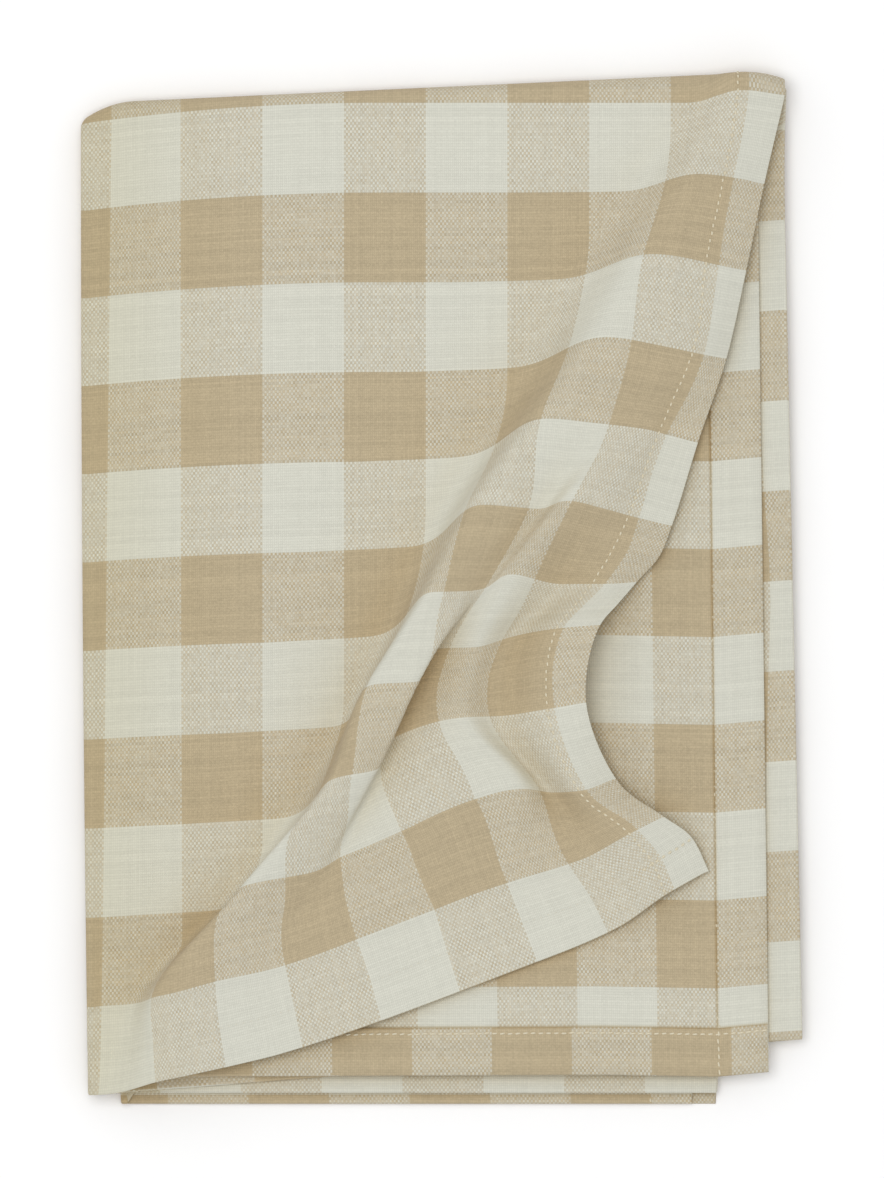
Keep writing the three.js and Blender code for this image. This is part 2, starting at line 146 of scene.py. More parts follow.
RELIEF = (
    Section(b=0, foot=5, risen=0, crest=Knot(56.5, 15, 6, 13.5), valley=Knot(119, 20, 18, 7.5),
            second=Knot(254, 26, 64, 1.5), dip=Knot(301.5, 32.5, 81.5, 2),
            third=Knot(331.5, 38.5, 98, 5), hem=Knot(354.5, 41, 109.5, 1.5)),
    Section(b=22.4, foot=12.5, risen=0.2, crest=Knot(59, 17.5, 5, 16.5),
            valley=Knot(121.5, 24.3, 16.9, 9), second=Knot(254, 33.8, 61.9, 2.3),
            dip=Knot(301.5, 41.3, 76.3, 2.5), third=Knot(332.3, 45.8, 92.6, 9.3),
            hem=Knot(354.5, 49.8, 104.1, 5.5)),
    Section(b=44.8, foot=20, risen=0.5, crest=Knot(61.5, 20, 4.2, 19.5),
            brink=Knot(94, 24, 10.7, 15.5), valley=Knot(124, 28.5, 15.7, 10.5),
            second=Knot(254, 41.5, 59.7, 3), dip=Knot(301.5, 52.5, 69.7, 3),
            third=Knot(333, 57, 84.2, 13.5), hem=Knot(354.5, 63.5, 91.7, 10)),
    Section(b=89.6, foot=65.5, risen=1, crest=Knot(109, 25, 13.4, 22),
            brink=Knot(149, 32.5, 19.4, 15), valley=Knot(172.5, 42, 27, 11),
            second=Knot(275, 58, 61.9, 11), dip=Knot(304, 70, 58.9, 1.5),
            third=Knot(333, 82.5, 59.9, 15), hem=Knot(354.5, 87.5, 65.9, 7)),
    Section(b=134.4, foot=99, risen=1.5, crest=Knot(159, 31, 21.6, 28),
            brink=Knot(192, 43.5, 26.1, 21.5), tuck=Knot(205, 55, 33.4, 13.5),
            valley=Knot(219, 64, 40.7, 9.5),
            second=Knot(274, 82.5, 51.6, 13), dip=Knot(299, 91.5, 52.1, 4),
            third=Knot(333, 98, 56.1, 16.5), hem=Knot(354.5, 102.5, 59.1, 17)),
    Section(b=179.2, foot=125.5, risen=2, crest=Knot(179, 32, 23.3, 27),
            brink=Knot(206, 37, 24.8, 24), tuck=Knot(222, 56, 33, 14),
            valley=Knot(240, 64, 41, 8.5),
            second=Knot(275, 78, 41.8, 12), dip=Knot(299, 84.5, 46.8, 4.5),
            third=Knot(334, 93.5, 51.3, 16.5), hem=Knot(354.5, 95.5, 52.8, 16.5)),
    Section(b=201.6, foot=135.3, risen=2.2, crest=Knot(191.5, 30, 24, 26.5),
            brink=Knot(218.8, 38.3, 25, 23), valley=Knot(247, 57, 34.5, 14),
            second=Knot(277, 71, 37.8, 15.5), dip=Knot(305.3, 78, 37.8, 5.3),
            third=Knot(335.3, 84.8, 40, 12.8), hem=Knot(354.5, 86.3, 41.3, 9.8)),
    Section(b=224, foot=145, risen=2.3, crest=Knot(204, 28, 24.5, 26.5),
            brink=Knot(231.5, 39.5, 25, 22), valley=Knot(254, 52, 26.5, 17),
            second=Knot(279, 64, 33.5, 18), dip=Knot(311.5, 71.5, 28.5, 6),
            third=Knot(336.5, 76, 28.5, 9), hem=Knot(354.5, 77, 29.5, 3)),
    Section(b=246.4, foot=155, risen=2.3, crest=Knot(215.3, 26.5, 23.9, 25.5),
            brink=Knot(238.3, 34, 23.6, 22), valley=Knot(257.8, 42.3, 23.9, 17),
            second=Knot(286, 56.5, 29.4, 21.5), dip=Knot(312.8, 62.8, 25.1, 12.5),
            third=Knot(335.3, 65.5, 22.2, 9.8), hem=Knot(354.5, 65.8, 19.6, 3.5)),
    Section(b=268.8, foot=165, risen=2.3, crest=Knot(226.5, 25, 23.2, 24.5),
            brink=Knot(245, 28.5, 22.2, 22), valley=Knot(261.5, 32.5, 21.2, 18),
            second=Knot(293, 49, 25.2, 25), dip=Knot(314, 54, 21.7, 19),
            third=Knot(334, 57.5, 17.2, 10.5), hem=Knot(354.5, 59.5, 12.7, 4)),
    Section(b=313.6, foot=189, risen=2.3, crest=Knot(259, 25.5, 21.4, 25),
            valley=Knot(284, 29, 19.4, 22.5), dip=Knot(321.5, 38, 15.9, 14),
            third=Knot(337.5, 44.5, 13.4, 8), hem=Knot(354.5, 46.5, 9.4, 4)),
    Section(b=358.4, foot=215, risen=2, crest=Knot(281.5, 18.5, 17.1, 25),
            dip=Knot(313, 21.5, 12.6, 19.5), third=Knot(341.5, 28, 8.1, 10.5),
            hem=Knot(354.5, 32.5, 6.6, 4.5)),
    Section(b=403.2, foot=239, risen=1.5, crest=Knot(301, 15, 13.8, 20),
            third=Knot(344, 20, 7.3, 10.5), hem=Knot(354.5, 22.5, 5.8, 6)),
    Section(b=448, foot=271, risen=0.5, crest=Knot(315, 6.5, 9, 15), third=Knot(342, 11.5, 6.5, 10),
            hem=Knot(354.5, 13.5, 4, 5)),
    Section(b=492.8, foot=304, risen=0, crest=Knot(333, 2.5, 6.2, 8), hem=Knot(354.5, 3, 3.7, 3)),
)


@dataclass(frozen=True)
class Relief:
    """How the top layer is moved from where it lies when flat."""

    sections: tuple[Section, ...] = RELIEF
    lead: float = 50.0  # the cloth starts to be pushed up this far before the foot
    rounding: float = 3.0  # each way along the thread, over which creases are rounded off
    samples: tuple[float, ...] = (-1.0, -0.5, 0.0, 0.5, 1.0)  # shares of it that are averaged
    lines: tuple[str, ...] = ("crest", "brink", "tuck", "valley", "second", "dip", "third", "hem")

    def knots(self, section: Section) -> Array:
        """One section's knots in order, as (a, drawn, pushed, lifted), the left-out ones filled in.

        Args:
            section: the section to lay out.

        Returns:
            Its knots, as (lines, 4), led by two flat ones before the foot.
        """
        flat = [(section.foot - self.lead, 0.0, 0.0, 0.0), (section.foot, 0.0, section.risen, 0.0)]
        found = [getattr(section, name) for name in self.lines]
        given = np.array(flat + [(k.a, k.drawn, k.pushed, k.lifted) for k in found if k])
        done = list(flat)
        for place, knot in enumerate(found):
            if knot:
                done.append((knot.a, knot.drawn, knot.pushed, knot.lifted))
                continue
            ahead = next(k for k in range(place, len(found)) if found[k])
            a = mixed(done[-1][0], found[ahead].a, 1.0 / (ahead - place + 1))
            moved = curve_at(given[:, 0], given[:, 1:], np.array([a]), limited=True)[0]
            done.append((a, *moved))
        return np.array(done)

    def at(self, a: Array, b: Array) -> Array:
        """The movement of the thread crossings at (a, b).

        Args:
            a: distances from the left fold.
            b: distances above the bottom hem.

        Returns:
            How far each is drawn back, pushed up and lifted, as (places, 3).
        """
        rows = np.array([self.knots(section).ravel() for section in self.sections])
        stations = np.array([float(section.b) for section in self.sections])
        across = curve_at(stations, rows, b, limited=False).reshape(len(b), -1, 4)
        places, moved = across[..., 0], across[..., 1:]
        widest = self.sections[0].hem.a
        total = np.zeros((len(a), 3))
        for share in self.samples:
            at = np.minimum(a + share * self.rounding, widest)
            total += curve_at(places, moved, at, limited=True)
        total /= len(self.samples)
        total[:, 2] = np.maximum(total[:, 2], 0.0)
        return total


@dataclass(frozen=True)
class FoldedCloth:
    """The sheet's middle surface, in millimetres from the lower left corner of the folded cloth.

    s runs through the section. 0 is the top layer's hem, 1 and 2 the ends of the left fold, then
    come the bottom layer to 3, the right fold to 4, the third layer to 5, the inner left fold to 6
    and the second layer to its hem at 7. w runs up the upper layers from 0 to 1, over the top fold
    to 2, and down the lower layers to 3.
    """

    relief: Relief = Relief()
    layer_step: float = 2.1
    lowest: float = 0.5  # height of the lowest layer's middle
    width: float = 354.5  # from the left fold to the top layer's hem, laid flat
    top_left: float = 492.7  # height of the top fold at the left edge
    top_rise: float = 0.046
    left_corner: tuple[float, float, float] = (27.0, 9.0, 2.0)  # reach, drop and power
    right_corner: tuple[float, float, float, float] = (315.0, 37.0, 4.0, 4.0)  # start, then the same
    past_corner: float = 1.2  # reaches from its start, beyond which the corner drops no further
    left_drift: float = 3.6
    drift_reach: float = 110.0  # over which the left edge's drift dies away
    sag_reach: float = 150.0  # from the left fold, over which the weft sags
    sags: tuple[float, float] = (3.7, 10.5)  # at the left fold, at the bottom and at the top
    inner_inset: float = 1.5
    right_fold: tuple[float, float] = (361.0, 351.0)  # at the bottom and at the top
    # Where the right fold flares: from which share up, how much at the top, and the power.
    top_flare: tuple[float, float, float] = (0.88, 2.0, 2.0)
    second_hem: tuple[float, float] = (343.5, 337.5)
    # Height of the bottom hem at the left, right and inner folds, and at the second side hem.
    hem_lines: tuple[float, float, float, float] = (-2.5, 25.2, 6.5, 9.0)
    # Shares of the way across the second layer, and how much lower its bottom hem lies there.
    second_slump: tuple[tuple[float, float], ...] = ((0.0, 0.0), (0.75, 0.7), (0.925, 2.1), (1.0, 0.0))
    lower_insets: tuple[float, float] = (20.0, -35.0)  # by which they narrow, at the left and right
    lower_hem_lines: tuple[float, float] = (-7.0, -1.5)  # of the outer layers and of the inner ones
    # The stretch of s over which the bottom layer's lower hem comes in to the inner line.
    covered: tuple[float, float] = (2.0, 2.012)
    first_outer: float = 2.5  # layer steps from the top fold's axis to the nearest outer layer

    @property
    def bend_height(self) -> float:
        """Height of the axis that all layers bend round at the top fold."""
        return self.lowest + 3.5 * self.layer_step

    @property
    def outer_radius(self) -> float:
        """Radius of the outer left fold."""
        return 1.5 * self.layer_step

    @property
    def inner_radius(self) -> float:
        """Radius of the inner left fold and of the right fold."""
        return 0.5 * self.layer_step

    @property
    def fold_centre(self) -> float:
        """How far the outer left fold's centre is in from the edge."""
        return self.outer_radius + self.lowest

    def bend_line(self, x: Array) -> Array:
        """Height up the cloth of the top fold's axis.

        Args:
            x: distances across the folded cloth.

        Returns:
            The height at each of them.
        """
        reach, drop, power = self.left_corner
        left = drop * np.clip(1.0 - x / reach, 0.0, 1.0) ** power
        start, reach, drop, power = self.right_corner
        right = drop * np.clip((x - start) / reach, 0.0, self.past_corner) ** power
        return self.top_left + self.top_rise * x - left - right - self.bend_height

    def inner_share(self, s: Array, radius: Array) -> Array:
        """One for the inner layers round the top fold, nothing for the outer ones and the left fold.

        Args:
            s: places through the section.
            radius: their heights above the top fold's axis.

        Returns:
            The share of each place.
        """
        start, end = self.covered
        from_fold = np.clip((s - start) / (end - start), 0.0, 1.0)
        return np.clip(self.first_outer - radius / self.layer_step, 0.0, 1.0) * from_fold

    def left_edge(self, up: Array) -> Array:
        """x of the left edge at a share of the way up."""
        return self.left_drift * (1.0 - up) ** 2

    def near_fold(self, a: Array) -> Array:
        """One at the left fold, dying away over the reach of the left edge's drift."""
        return np.clip(1.0 - (a - self.fold_centre) / self.drift_reach, 0.0, 1.0) ** 2

    def section(self, s: Array, up: Array) -> tuple[Array, Array, Array]:
        """The section through the four layers.

        Args:
            s: places through the section.
            up: shares of the way up the upper layers.

        Returns:
            x, the height above the bend axis, and where the bottom hem lies.
        """
        step = self.layer_step
        centre = self.left_edge(up) + self.fold_centre
        inner = centre + self.inner_inset
        start, more, power = self.top_flare
        flare = more * np.clip((up - start) / (1.0 - start), 0.0, 1.0) ** power
        right = mixed(*self.right_fold, up) + flare - self.fold_centre / 2.0
        second = mixed(*self.second_hem, up)
        stretch = np.clip(np.floor(s), 0, 6).astype(int)
        t = s - stretch
        full = np.ones_like(s)
        at_left, at_right, at_inner, at_hem = self.hem_lines

        def around(x: Array, middle: float, radius: float, start: float, end: float) -> tuple:
            """Points round a side fold, between two angles in half turns."""
            angle = mixed(start, end, t) * np.pi
            return x + radius * np.cos(angle), middle * step + radius * np.sin(angle)

        slumped = np.interp(t, *zip(*self.second_slump))
        left_fold = around(centre, 2.0, self.outer_radius, 0.5, 1.5)
        right_fold = around(right, 1.0, self.inner_radius, -0.5, 0.5)
        inner_fold = around(inner, 2.0, self.inner_radius, 1.5, 0.5)
        parts = (
            (mixed(self.width, centre, t), 3.5 * step * full, at_left * full),
            (*left_fold, at_left * full),
            (mixed(centre, right, t), 0.5 * step * full, mixed(at_left, at_right, t)),
            (*right_fold, at_right * full),
            (mixed(right, inner, t), 1.5 * step * full, mixed(at_right, at_inner, t)),
            (*inner_fold, at_inner * full),
            (mixed(inner, second, t), 2.5 * step * full, mixed(at_inner, at_hem, t) - slumped),
        )
        x, h, hem = (np.choose(stretch, [part[k] for part in parts]) for k in range(3))
        return x, h, hem

    def weft_place(self, s: Array, w: Array) -> tuple[Array, Array, Array]:
        """Where the top layer's crossings lie when flat.

        Args:
            s: places across the top layer.
            w: shares of the way up it.

        Returns:
            The distances a and b of each crossing, and how far its weft sags there.
        """
        a = mixed(self.width, self.fold_centre, s)
        near_fold = self.near_fold(a)
        at_top = self.relief.at(a, np.full_like(a, self.relief.sections[-1].b))
        drift = self.left_edge(w) * near_fold
        low = self.sag(a, np.zeros_like(w)) + self.hem_lines[0] * near_fold
        high = self.sag(a, np.ones_like(w)) + self.bend_line(a + drift - at_top[:, 0]) - at_top[:, 1]
        return a, mixed(low, high, w), self.sag(a, w)

    def sag(self, a: Array, up: Array) -> Array:
        """How far the weft sags at a distance from the left fold, at a share of the way up."""
        return mixed(*self.sags, up * up) * np.clip(1.0 - a / self.sag_reach, 0.0, 1.0) ** 2

    def top_layer(self, s: Array, w: Array) -> Array:
        """Points of the top layer.

        Args:
            s: places across it.
            w: shares of the way up it.

        Returns:
            The points, as (places, 3).
        """
        a, b, sag = self.weft_place(s, w)
        moved = self.relief.at(a, b)
        x = a + self.left_edge(w) * self.near_fold(a) - moved[:, 0]
        level = self.bend_height + 3.5 * self.layer_step
        return np.stack([x, b - sag + moved[:, 1], level + moved[:, 2]], axis=1)

    def upper(self, s: Array, w: Array) -> Array:
        """Points of the four upper layers.

        Args:
            s: places through the section.
            w: shares of the way up.

        Returns:
            The points, as (places, 3).
        """
        points = np.empty((len(s), 3))
        top = s < 1.0
        if top.any():
            points[top] = self.top_layer(s[top], w[top])
        rest = ~top
        x, h, hem = self.section(s[rest], w[rest])
        y = mixed(hem, self.bend_line(x), w[rest])
        points[rest] = np.stack([x, y, self.bend_height + h], axis=1)
        return points

    def middle(self, s: Array, w: Array) -> Array:
        """Points of the whole sheet's middle surface.

        Args:
            s: places through the section.
            w: places up, over and down.

        Returns:
            The points, as (places, 3).
        """
        points = self.upper(s, np.clip(w, 0.0, 1.0))
        over = w > 1.0
        if not over.any():
            return points
        start = points[over]
        w_over = w[over]
        radius = self.section(s[over], np.ones(over.sum()))[1]
        raised = start[:, 2] - self.bend_height - radius
        angle = np.clip(w_over - 1.0, 0.0, 1.0) * np.pi
        reach = radius + raised * np.maximum(0.0, np.cos(angle)) ** 2
        down = np.clip(w_over - 2.0, 0.0, 1.0)
        inset = mixed(*self.lower_insets, np.clip(start[:, 0] / self.width, 0.0, 1.0)) * down
        end = mixed(*self.lower_hem_lines, self.inner_share(s[over], radius))
        y = mixed(start[:, 1] + reach * np.sin(angle), end, down)
        points[over] = np.stack(
            [start[:, 0] + inset, y, self.bend_height + reach * np.cos(angle)], axis=1
        )
        return points

    def tilts(self, s: Array, w: Array, reach: float = 0.004) -> tuple[Array, Array, Array]:
        """The directions along s and w, and the unit normal on the good side.

        Args:
            s: places through the section.
            w: places up, over and down.
            reach: how far each way the directions are taken.

        Returns:
            Three arrays of unit vectors, as (places, 3).
        """
        def unit(v: Array) -> Array:
            """Vectors of length one."""
            return v / np.maximum(np.linalg.norm(v, axis=1, keepdims=True), 1e-9)

        after_s, before_s = np.minimum(s + reach, SECTION_END), np.maximum(s - reach, 0.0)
        after_w, before_w = np.minimum(w + reach, LENGTH_END), np.maximum(w - reach, 0.0)
        along_s = self.middle(after_s, w) - self.middle(before_s, w)
        along_w = self.middle(s, after_w) - self.middle(s, before_w)
        return unit(along_s), unit(along_w), unit(np.cross(along_w, along_s))


@dataclass(frozen=True)
class Slip:
    """How far the check's lines have slid in the cloth, b above the bottom hem, in millimetres.

    Each field but b is for one line between two stripes, counted from the left fold. Between the
    third one, the hem and these the slip changes evenly.
    """

    b: float
    fourth: float = 0.0
    fifth: float = 0.0
    sixth: float = 0.0
    seventh: float = 0.0
    eighth: float = 0.0


# Across the cloth: how far the lines between the top layer's stripes have slid from an even check.
ACROSS = (
    Slip(b=22.4),
    Slip(b=44.8, fourth=-1.5),
    Slip(b=67.2, fourth=-2.5, fifth=-4.0, sixth=-1.5, seventh=-1.0),
    Slip(b=89.6, fourth=-1.0, fifth=-7.0, sixth=-4.5),
    Slip(b=112.0, fourth=-0.5, fifth=-5.5, sixth=-0.5),
    Slip(b=134.4, fourth=-1.5, fifth=-1.5, sixth=2.0, seventh=-0.5, eighth=-0.5),
    Slip(b=156.8, fourth=-2.0, seventh=-2.3, eighth=-1.5),
    Slip(b=179.2, sixth=1.0, seventh=-1.2, eighth=-0.8),
    Slip(b=201.6, eighth=0.5),
    Slip(b=224.0, eighth=2.6),
    Slip(b=246.4, fifth=-2.0, eighth=3.0),
    Slip(b=268.8, fifth=-3.0, eighth=0.8),
    Slip(b=291.2),
    Slip(b=313.6, eighth=1.2),
    Slip(b=336.0, eighth=3.5),
    Slip(b=358.4, eighth=2.9),
    Slip(b=380.8, eighth=1.9),
    Slip(b=403.2, eighth=2.3),
    Slip(b=425.6, eighth=1.2),
    Slip(b=448.0, eighth=0.8),
)
# The same along the cloth: how far the rows have slid where they cross those lines.
ALONG = (
    Slip(b=22.4),
    Slip(b=44.8, fifth=-1.5, sixth=-1.5),
    Slip(b=89.6, fifth=-3.0, sixth=-3.0),
    Slip(b=134.4),
)
# Shares of the way up the right fold, and how many stripes the check has slid there.
RIGHT_SLIPS = (
    (0.0, 0.2), (0.15, 0.17), (0.25, 0.13), (0.36, 0.08), (0.43, 0.03), (0.48, 0.0), (0.58, 0.07),
    (0.63, 0.1), (0.78, 0.08), (0.93, 0.06), (0.956, 0.0), (1.0, -0.9),
)


@dataclass(frozen=True)
class Check:
    """The gingham's repeat, and where it falls on the folded cloth, counted in stripes."""

    stripe_wide: float = 40.8
    stripe_long: float = 44.8
    first_stripe: float = 9.2  # from the left fold to the first stripe's edge, were it straight
    # Where that edge really is: at the bottom, how much more at the top, and the power between.
    edge_stripe: tuple[float, float, float] = (5.3, 10.3, 0.6)
    last_row: float = 11.0  # the row that ends at the bottom hem
    # Where each stretch of the section starts, from s = 1 on, and the second hem.
    fold_stripes: tuple[float, ...] = (0.0, -0.244, -7.69, -7.75, -16.91, -16.99, -25.38)
    slid_lines: tuple[str, ...] = ("fourth", "fifth", "sixth", "seventh", "eighth")
    across: tuple[Slip, ...] = ACROSS
    along: tuple[Slip, ...] = ALONG
    right_slips: tuple[tuple[float, float], ...] = RIGHT_SLIPS
    right_rows: float = 0.095  # rows by which the check there lies further down
    row_lengths: tuple[float, ...] = (44.8, 44.8, 44.9, 45.0, 44.6, 44.0, 43.85)
    lower_rows: tuple[float, float] = (-12.1, -11.56)  # at the outer and the inner lower hems
    # How far the stripes have wandered by the lower hems, at s = 0, 1 and so on to 7.
    lower_shifts: tuple[float, ...] = (-1.46, -0.25, -0.05, 0.73, 0.73, 0.43, 0.47, 1.89)

    def stripes(self, cloth: FoldedCloth, s: Array, w: Array) -> Array:
        """How many stripes across the cloth each point is.

        Args:
            cloth: the folded cloth.
            s: places through the section.
            w: places up, over and down.

        Returns:
            The stripes, which count down from the top layer's hem.
        """
        a = mixed(cloth.width, cloth.fold_centre, s)
        up = np.clip(w, 0.0, 1.0)
        at_bottom, more, power = self.edge_stripe
        edge = at_bottom + more * up**power
        second = self.first_stripe + self.stripe_wide
        upper = np.interp(s, np.arange(1.0, 8.0), self.fold_stripes)
        upper += (cloth.fold_centre - edge) / self.stripe_wide * self.before_right(s)
        upper += np.interp(up, *zip(*self.right_slips)) * self.near_right(s)
        first = np.where(a < edge, (a - edge) / self.stripe_wide, (a - edge) / (second - edge))
        b = cloth.weft_place(s, up)[1]
        slid = a - self.slip(cloth, self.across, a, b)
        top = np.where(a < second, first, (slid - self.first_stripe) / self.stripe_wide)
        upper = np.where(s < 1.0, top, upper)
        shift = np.interp(s, np.arange(8.0), self.lower_shifts)
        return upper + shift * np.clip(w - 2.0, 0.0, 1.0)

    def slip(self, cloth: FoldedCloth, table: tuple[Slip, ...], a: Array, b: Array) -> Array:
        """How far the check has slid at each crossing of the top layer.

        Args:
            cloth: the folded cloth.
            table: the slips of the lines, from the bottom up.
            a: distances from the left fold.
            b: distances above the bottom hem.

        Returns:
            The slip of each crossing.
        """
        numbers = range(3, 4 + len(self.slid_lines))
        places = [self.first_stripe + self.stripe_wide * line for line in numbers] + [cloth.width]
        stations = [row.b for row in table]
        lines = [
            np.interp(b, stations, [getattr(row, name) for row in table]) for name in self.slid_lines
        ]
        lines = np.array([0.0 * b, *lines, 0.0 * b])
        low = np.clip(np.searchsorted(places, a) - 1, 0, len(places) - 2)
        gap = np.diff(places)[low]
        share = np.clip((a - np.array(places)[low]) / gap, 0.0, 1.0)
        one = np.arange(len(a))
        return mixed(lines[low, one], lines[low + 1, one], share)

    @staticmethod
    def before_right(s: Array) -> Array:
        """One up to the left fold, dying away to nothing along the bottom layer."""
        return np.clip(3.0 - s, 0.0, 1.0)

    @staticmethod
    def near_right(s: Array) -> Array:
        """One at the right fold, dying away to nothing at the left end of its two layers."""
        return np.interp(s, (2.0, 3.0, 4.0, 5.0), (0.0, 1.0, 1.0, 0.0))

    def rows(self, cloth: FoldedCloth, s: Array, w: Array) -> Array:
        """How many rows down the cloth each point is, from the top fold.

        Args:
            cloth: the folded cloth.
            s: places through the section.
            w: places up, over and down.

        Returns:
            The rows, which reach last_row at the upper layers' hem.
        """
        up = np.clip(w, 0.0, 1.0)
        pitch = np.interp(s, np.arange(1.0, 8.0), self.row_lengths)
        x, radius, hem = cloth.section(s, up)
        at_fold = (cloth.sag(cloth.fold_centre, up) + cloth.hem_lines[0]) * self.before_right(s)
        rows = self.last_row - (mixed(hem, cloth.bend_line(x), up) - hem + at_fold) / pitch
        rows += self.right_rows * self.near_right(s)
        top = s < 1.0
        a, b, _ = cloth.weft_place(s[top], up[top])
        rows[top] = self.last_row - (b - self.slip(cloth, self.along, a, b)) / self.stripe_long
        radius = cloth.section(s, np.ones_like(s))[1]
        over = rows - np.clip(w - 1.0, 0.0, 1.0) * np.pi * radius / self.stripe_long
        at_hem = mixed(*self.lower_rows, cloth.inner_share(s, radius))
        return mixed(over, at_hem, np.clip(w - 2.0, 0.0, 1.0))


@dataclass(frozen=True)
class Hem:
    """A double-turned edge of the cloth, sewn with one line of stitches."""

    side_turn: float = 24.6  # from the edge to the inner edge of the turning, at the sides
    side_seam: float = 24.2  # from the edge to the stitches
    second: float = 1.08  # how much wider the second layer's side turning is
    askew: float = 3.1  # by which the ends' turnings lie further along the weft
    end_turn: float = 24.0
    end_seam: float = 20.8
    thickness: float = 0.62  # that the turning adds on the wrong side
    ramp: float = 0.3  # over which that thickness comes in
    groove: float = 0.28  # that the stitches pull in
    groove_width: float = 1.5
    groove_spread: float = 0.6  # share of that width over which the groove dies away
    stitch: float = 3.85  # from one stitch to the next
    edge_round: float = 1.0  # over which the turned edge thins out
    thinnest: float = 0.12  # least share of that which counts, so that the very edge stays open
    # Further places for the mesh's vertices, after the turned edge's own and the seam's.
    edge_stop: float = 0.35  # share of the edge's rounding
    seam_stop: float = 0.6  # share of the way from the seam to the turning's inner edge
    before_turn: float = 0.1
    after_turn: float = 1.6


@dataclass(frozen=True)
class Cloth:
    """The whole cloth: its folds, check and hems, and the mesh made from them."""

    folds: FoldedCloth = FoldedCloth()
    check: Check = Check()
    hem: Hem = Hem()
    sheet: float = 0.75
    top_step: float = 2.6  # between the top layer's vertices
    second_step: float = 5.5
    hidden_step: float = 22.0
    outer_cells: int = 10  # round the outer left fold
    fold_cells: int = 8  # round each of the other side folds
    bend_cells: int = 12  # over the top fold

    @property
    def length(self) -> float:
        """Length of an upper layer, for turning millimetres into w."""
        return self.folds.top_left

    def edge_distances(self, s: Array, w: Array) -> tuple[Array, Array]:
        """Distances to the nearest side hem and to the nearest end hem.

        Args:
            s: places through the section.
            w: places up, over and down.

        Returns:
            Both distances, in millimetres along the cloth.
        """
        side = np.minimum(s, (SECTION_END - s) / self.hem.second) * self.folds.width
        return side, np.minimum(w, LENGTH_END - w) * self.length

    def stops(self, turn: float, seam: float, fine: bool) -> list[float]:
        """Distances from a hem's edge at which the mesh has vertices.

        Args:
            turn: from the edge to the inner edge of the turning.
            seam: from the edge to the stitches.
            fine: whether the top layer's spacing is used.

        Returns:
            The distances, up to just past the turning.
        """
        hem = self.hem
        step = self.top_step if fine else self.second_step
        inner = seam - hem.groove_width
        edge = [0.0, hem.edge_stop * hem.edge_round, hem.edge_round]
        cells = max(1, round((inner - edge[-1]) / step))
        between = list(np.linspace(edge[-1], inner, cells + 1)[1:])
        past = [seam, seam + hem.seam_stop * (turn - seam)]
        past += [turn - hem.before_turn, turn + hem.ramp, turn + hem.after_turn]
        return edge + between + past

    def columns(self) -> list[tuple[float, Spacing]]:
        """Where the mesh has its columns.

        Returns:
            The place s of each, and how closely it is divided.
        """
        width = self.folds.width
        turn, seam = self.hem.side_turn, self.hem.side_seam
        near = np.array(self.stops(turn, seam, fine=True)) / width
        far = SECTION_END - np.array(self.stops(turn, seam, fine=False)) * self.hem.second / width

        def run(start: float, end: float, cells: int) -> list[float]:
            """Even places from start up to, but not on, end."""
            return list(np.linspace(start, end, cells, endpoint=False))

        top = list(near) + run(near[-1], 1.0, round((1.0 - near[-1]) * width / self.top_step))[1:]
        hidden = round(width / self.hidden_step)
        second = round((far[-1] - 6.0) * width / self.second_step)
        rest = [
            (run(1.0, 2.0, self.outer_cells), Spacing.TOP),
            ([2.0, self.folds.covered[1], *run(2.0, 3.0, hidden)[1:]], Spacing.HIDDEN),
            (run(3.0, 4.0, self.fold_cells), Spacing.SECOND),
            (run(4.0, 5.0, hidden), Spacing.HIDDEN),
            (run(5.0, 6.0, self.fold_cells), Spacing.HIDDEN),
            (run(6.0, far[-1], second), Spacing.SECOND),
            (list(far[::-1]), Spacing.SECOND),
        ]
        return [(s, Spacing.TOP) for s in top] + [(s, kind) for places, kind in rest for s in places]

    def row_places(self, kind: Spacing) -> list[float]:
        """Where a column has its vertices.

        Args:
            kind: how closely the column is divided.

        Returns:
            The place w of each vertex.
        """
        steps = {
            Spacing.TOP: self.top_step,
            Spacing.SECOND: self.second_step,
            Spacing.HIDDEN: self.hidden_step,
        }
        turn, seam = self.hem.end_turn, self.hem.end_seam
        stops = np.array(self.stops(turn, seam, fine=kind is Spacing.TOP)) / self.length
        upper = np.linspace(stops[-1], 1.0, round((1.0 - stops[-1]) * self.length / steps[kind]) + 1)
        bend = np.linspace(1.0, 2.0, self.bend_cells + 1)
        far = LENGTH_END - np.array(self.stops(turn, seam, fine=False)) / self.length
        lower = np.linspace(2.0, far[-1], round(self.length / (2.0 * self.hidden_step)) + 1)
        return [*stops, *upper[1:], *bend[1:], *lower[1:], *far[::-1][1:]]

    def half_thickness(self, s: Array, w: Array) -> tuple[Array, Array]:
        """Distances from the middle surface to the good side and to the wrong side.

        Args:
            s: places through the section.
            w: places up, over and down.

        Returns:
            Both distances, with the turning's thickness, its edges and the seam's groove in them.
        """
        side, end = self.edge_distances(s, w)
        hem = self.hem
        turned = np.maximum(
            np.clip((hem.side_turn + hem.ramp - side) / hem.ramp, 0.0, 1.0),
            np.clip((hem.end_turn + hem.ramp - end) / hem.ramp, 0.0, 1.0),
        )
        thin = np.sqrt(np.clip(np.minimum(side, end) / hem.edge_round, hem.thinnest, 1.0))
        seam = np.minimum(np.abs(side - hem.side_seam), np.abs(end - hem.end_seam))
        pulled = hem.groove * np.exp(-((seam / (hem.groove_spread * hem.groove_width)) ** 2))
        good = 0.5 * self.sheet - 0.5 * pulled
        return good * thin, (0.5 * self.sheet + hem.thickness * turned - 0.5 * pulled) * thin


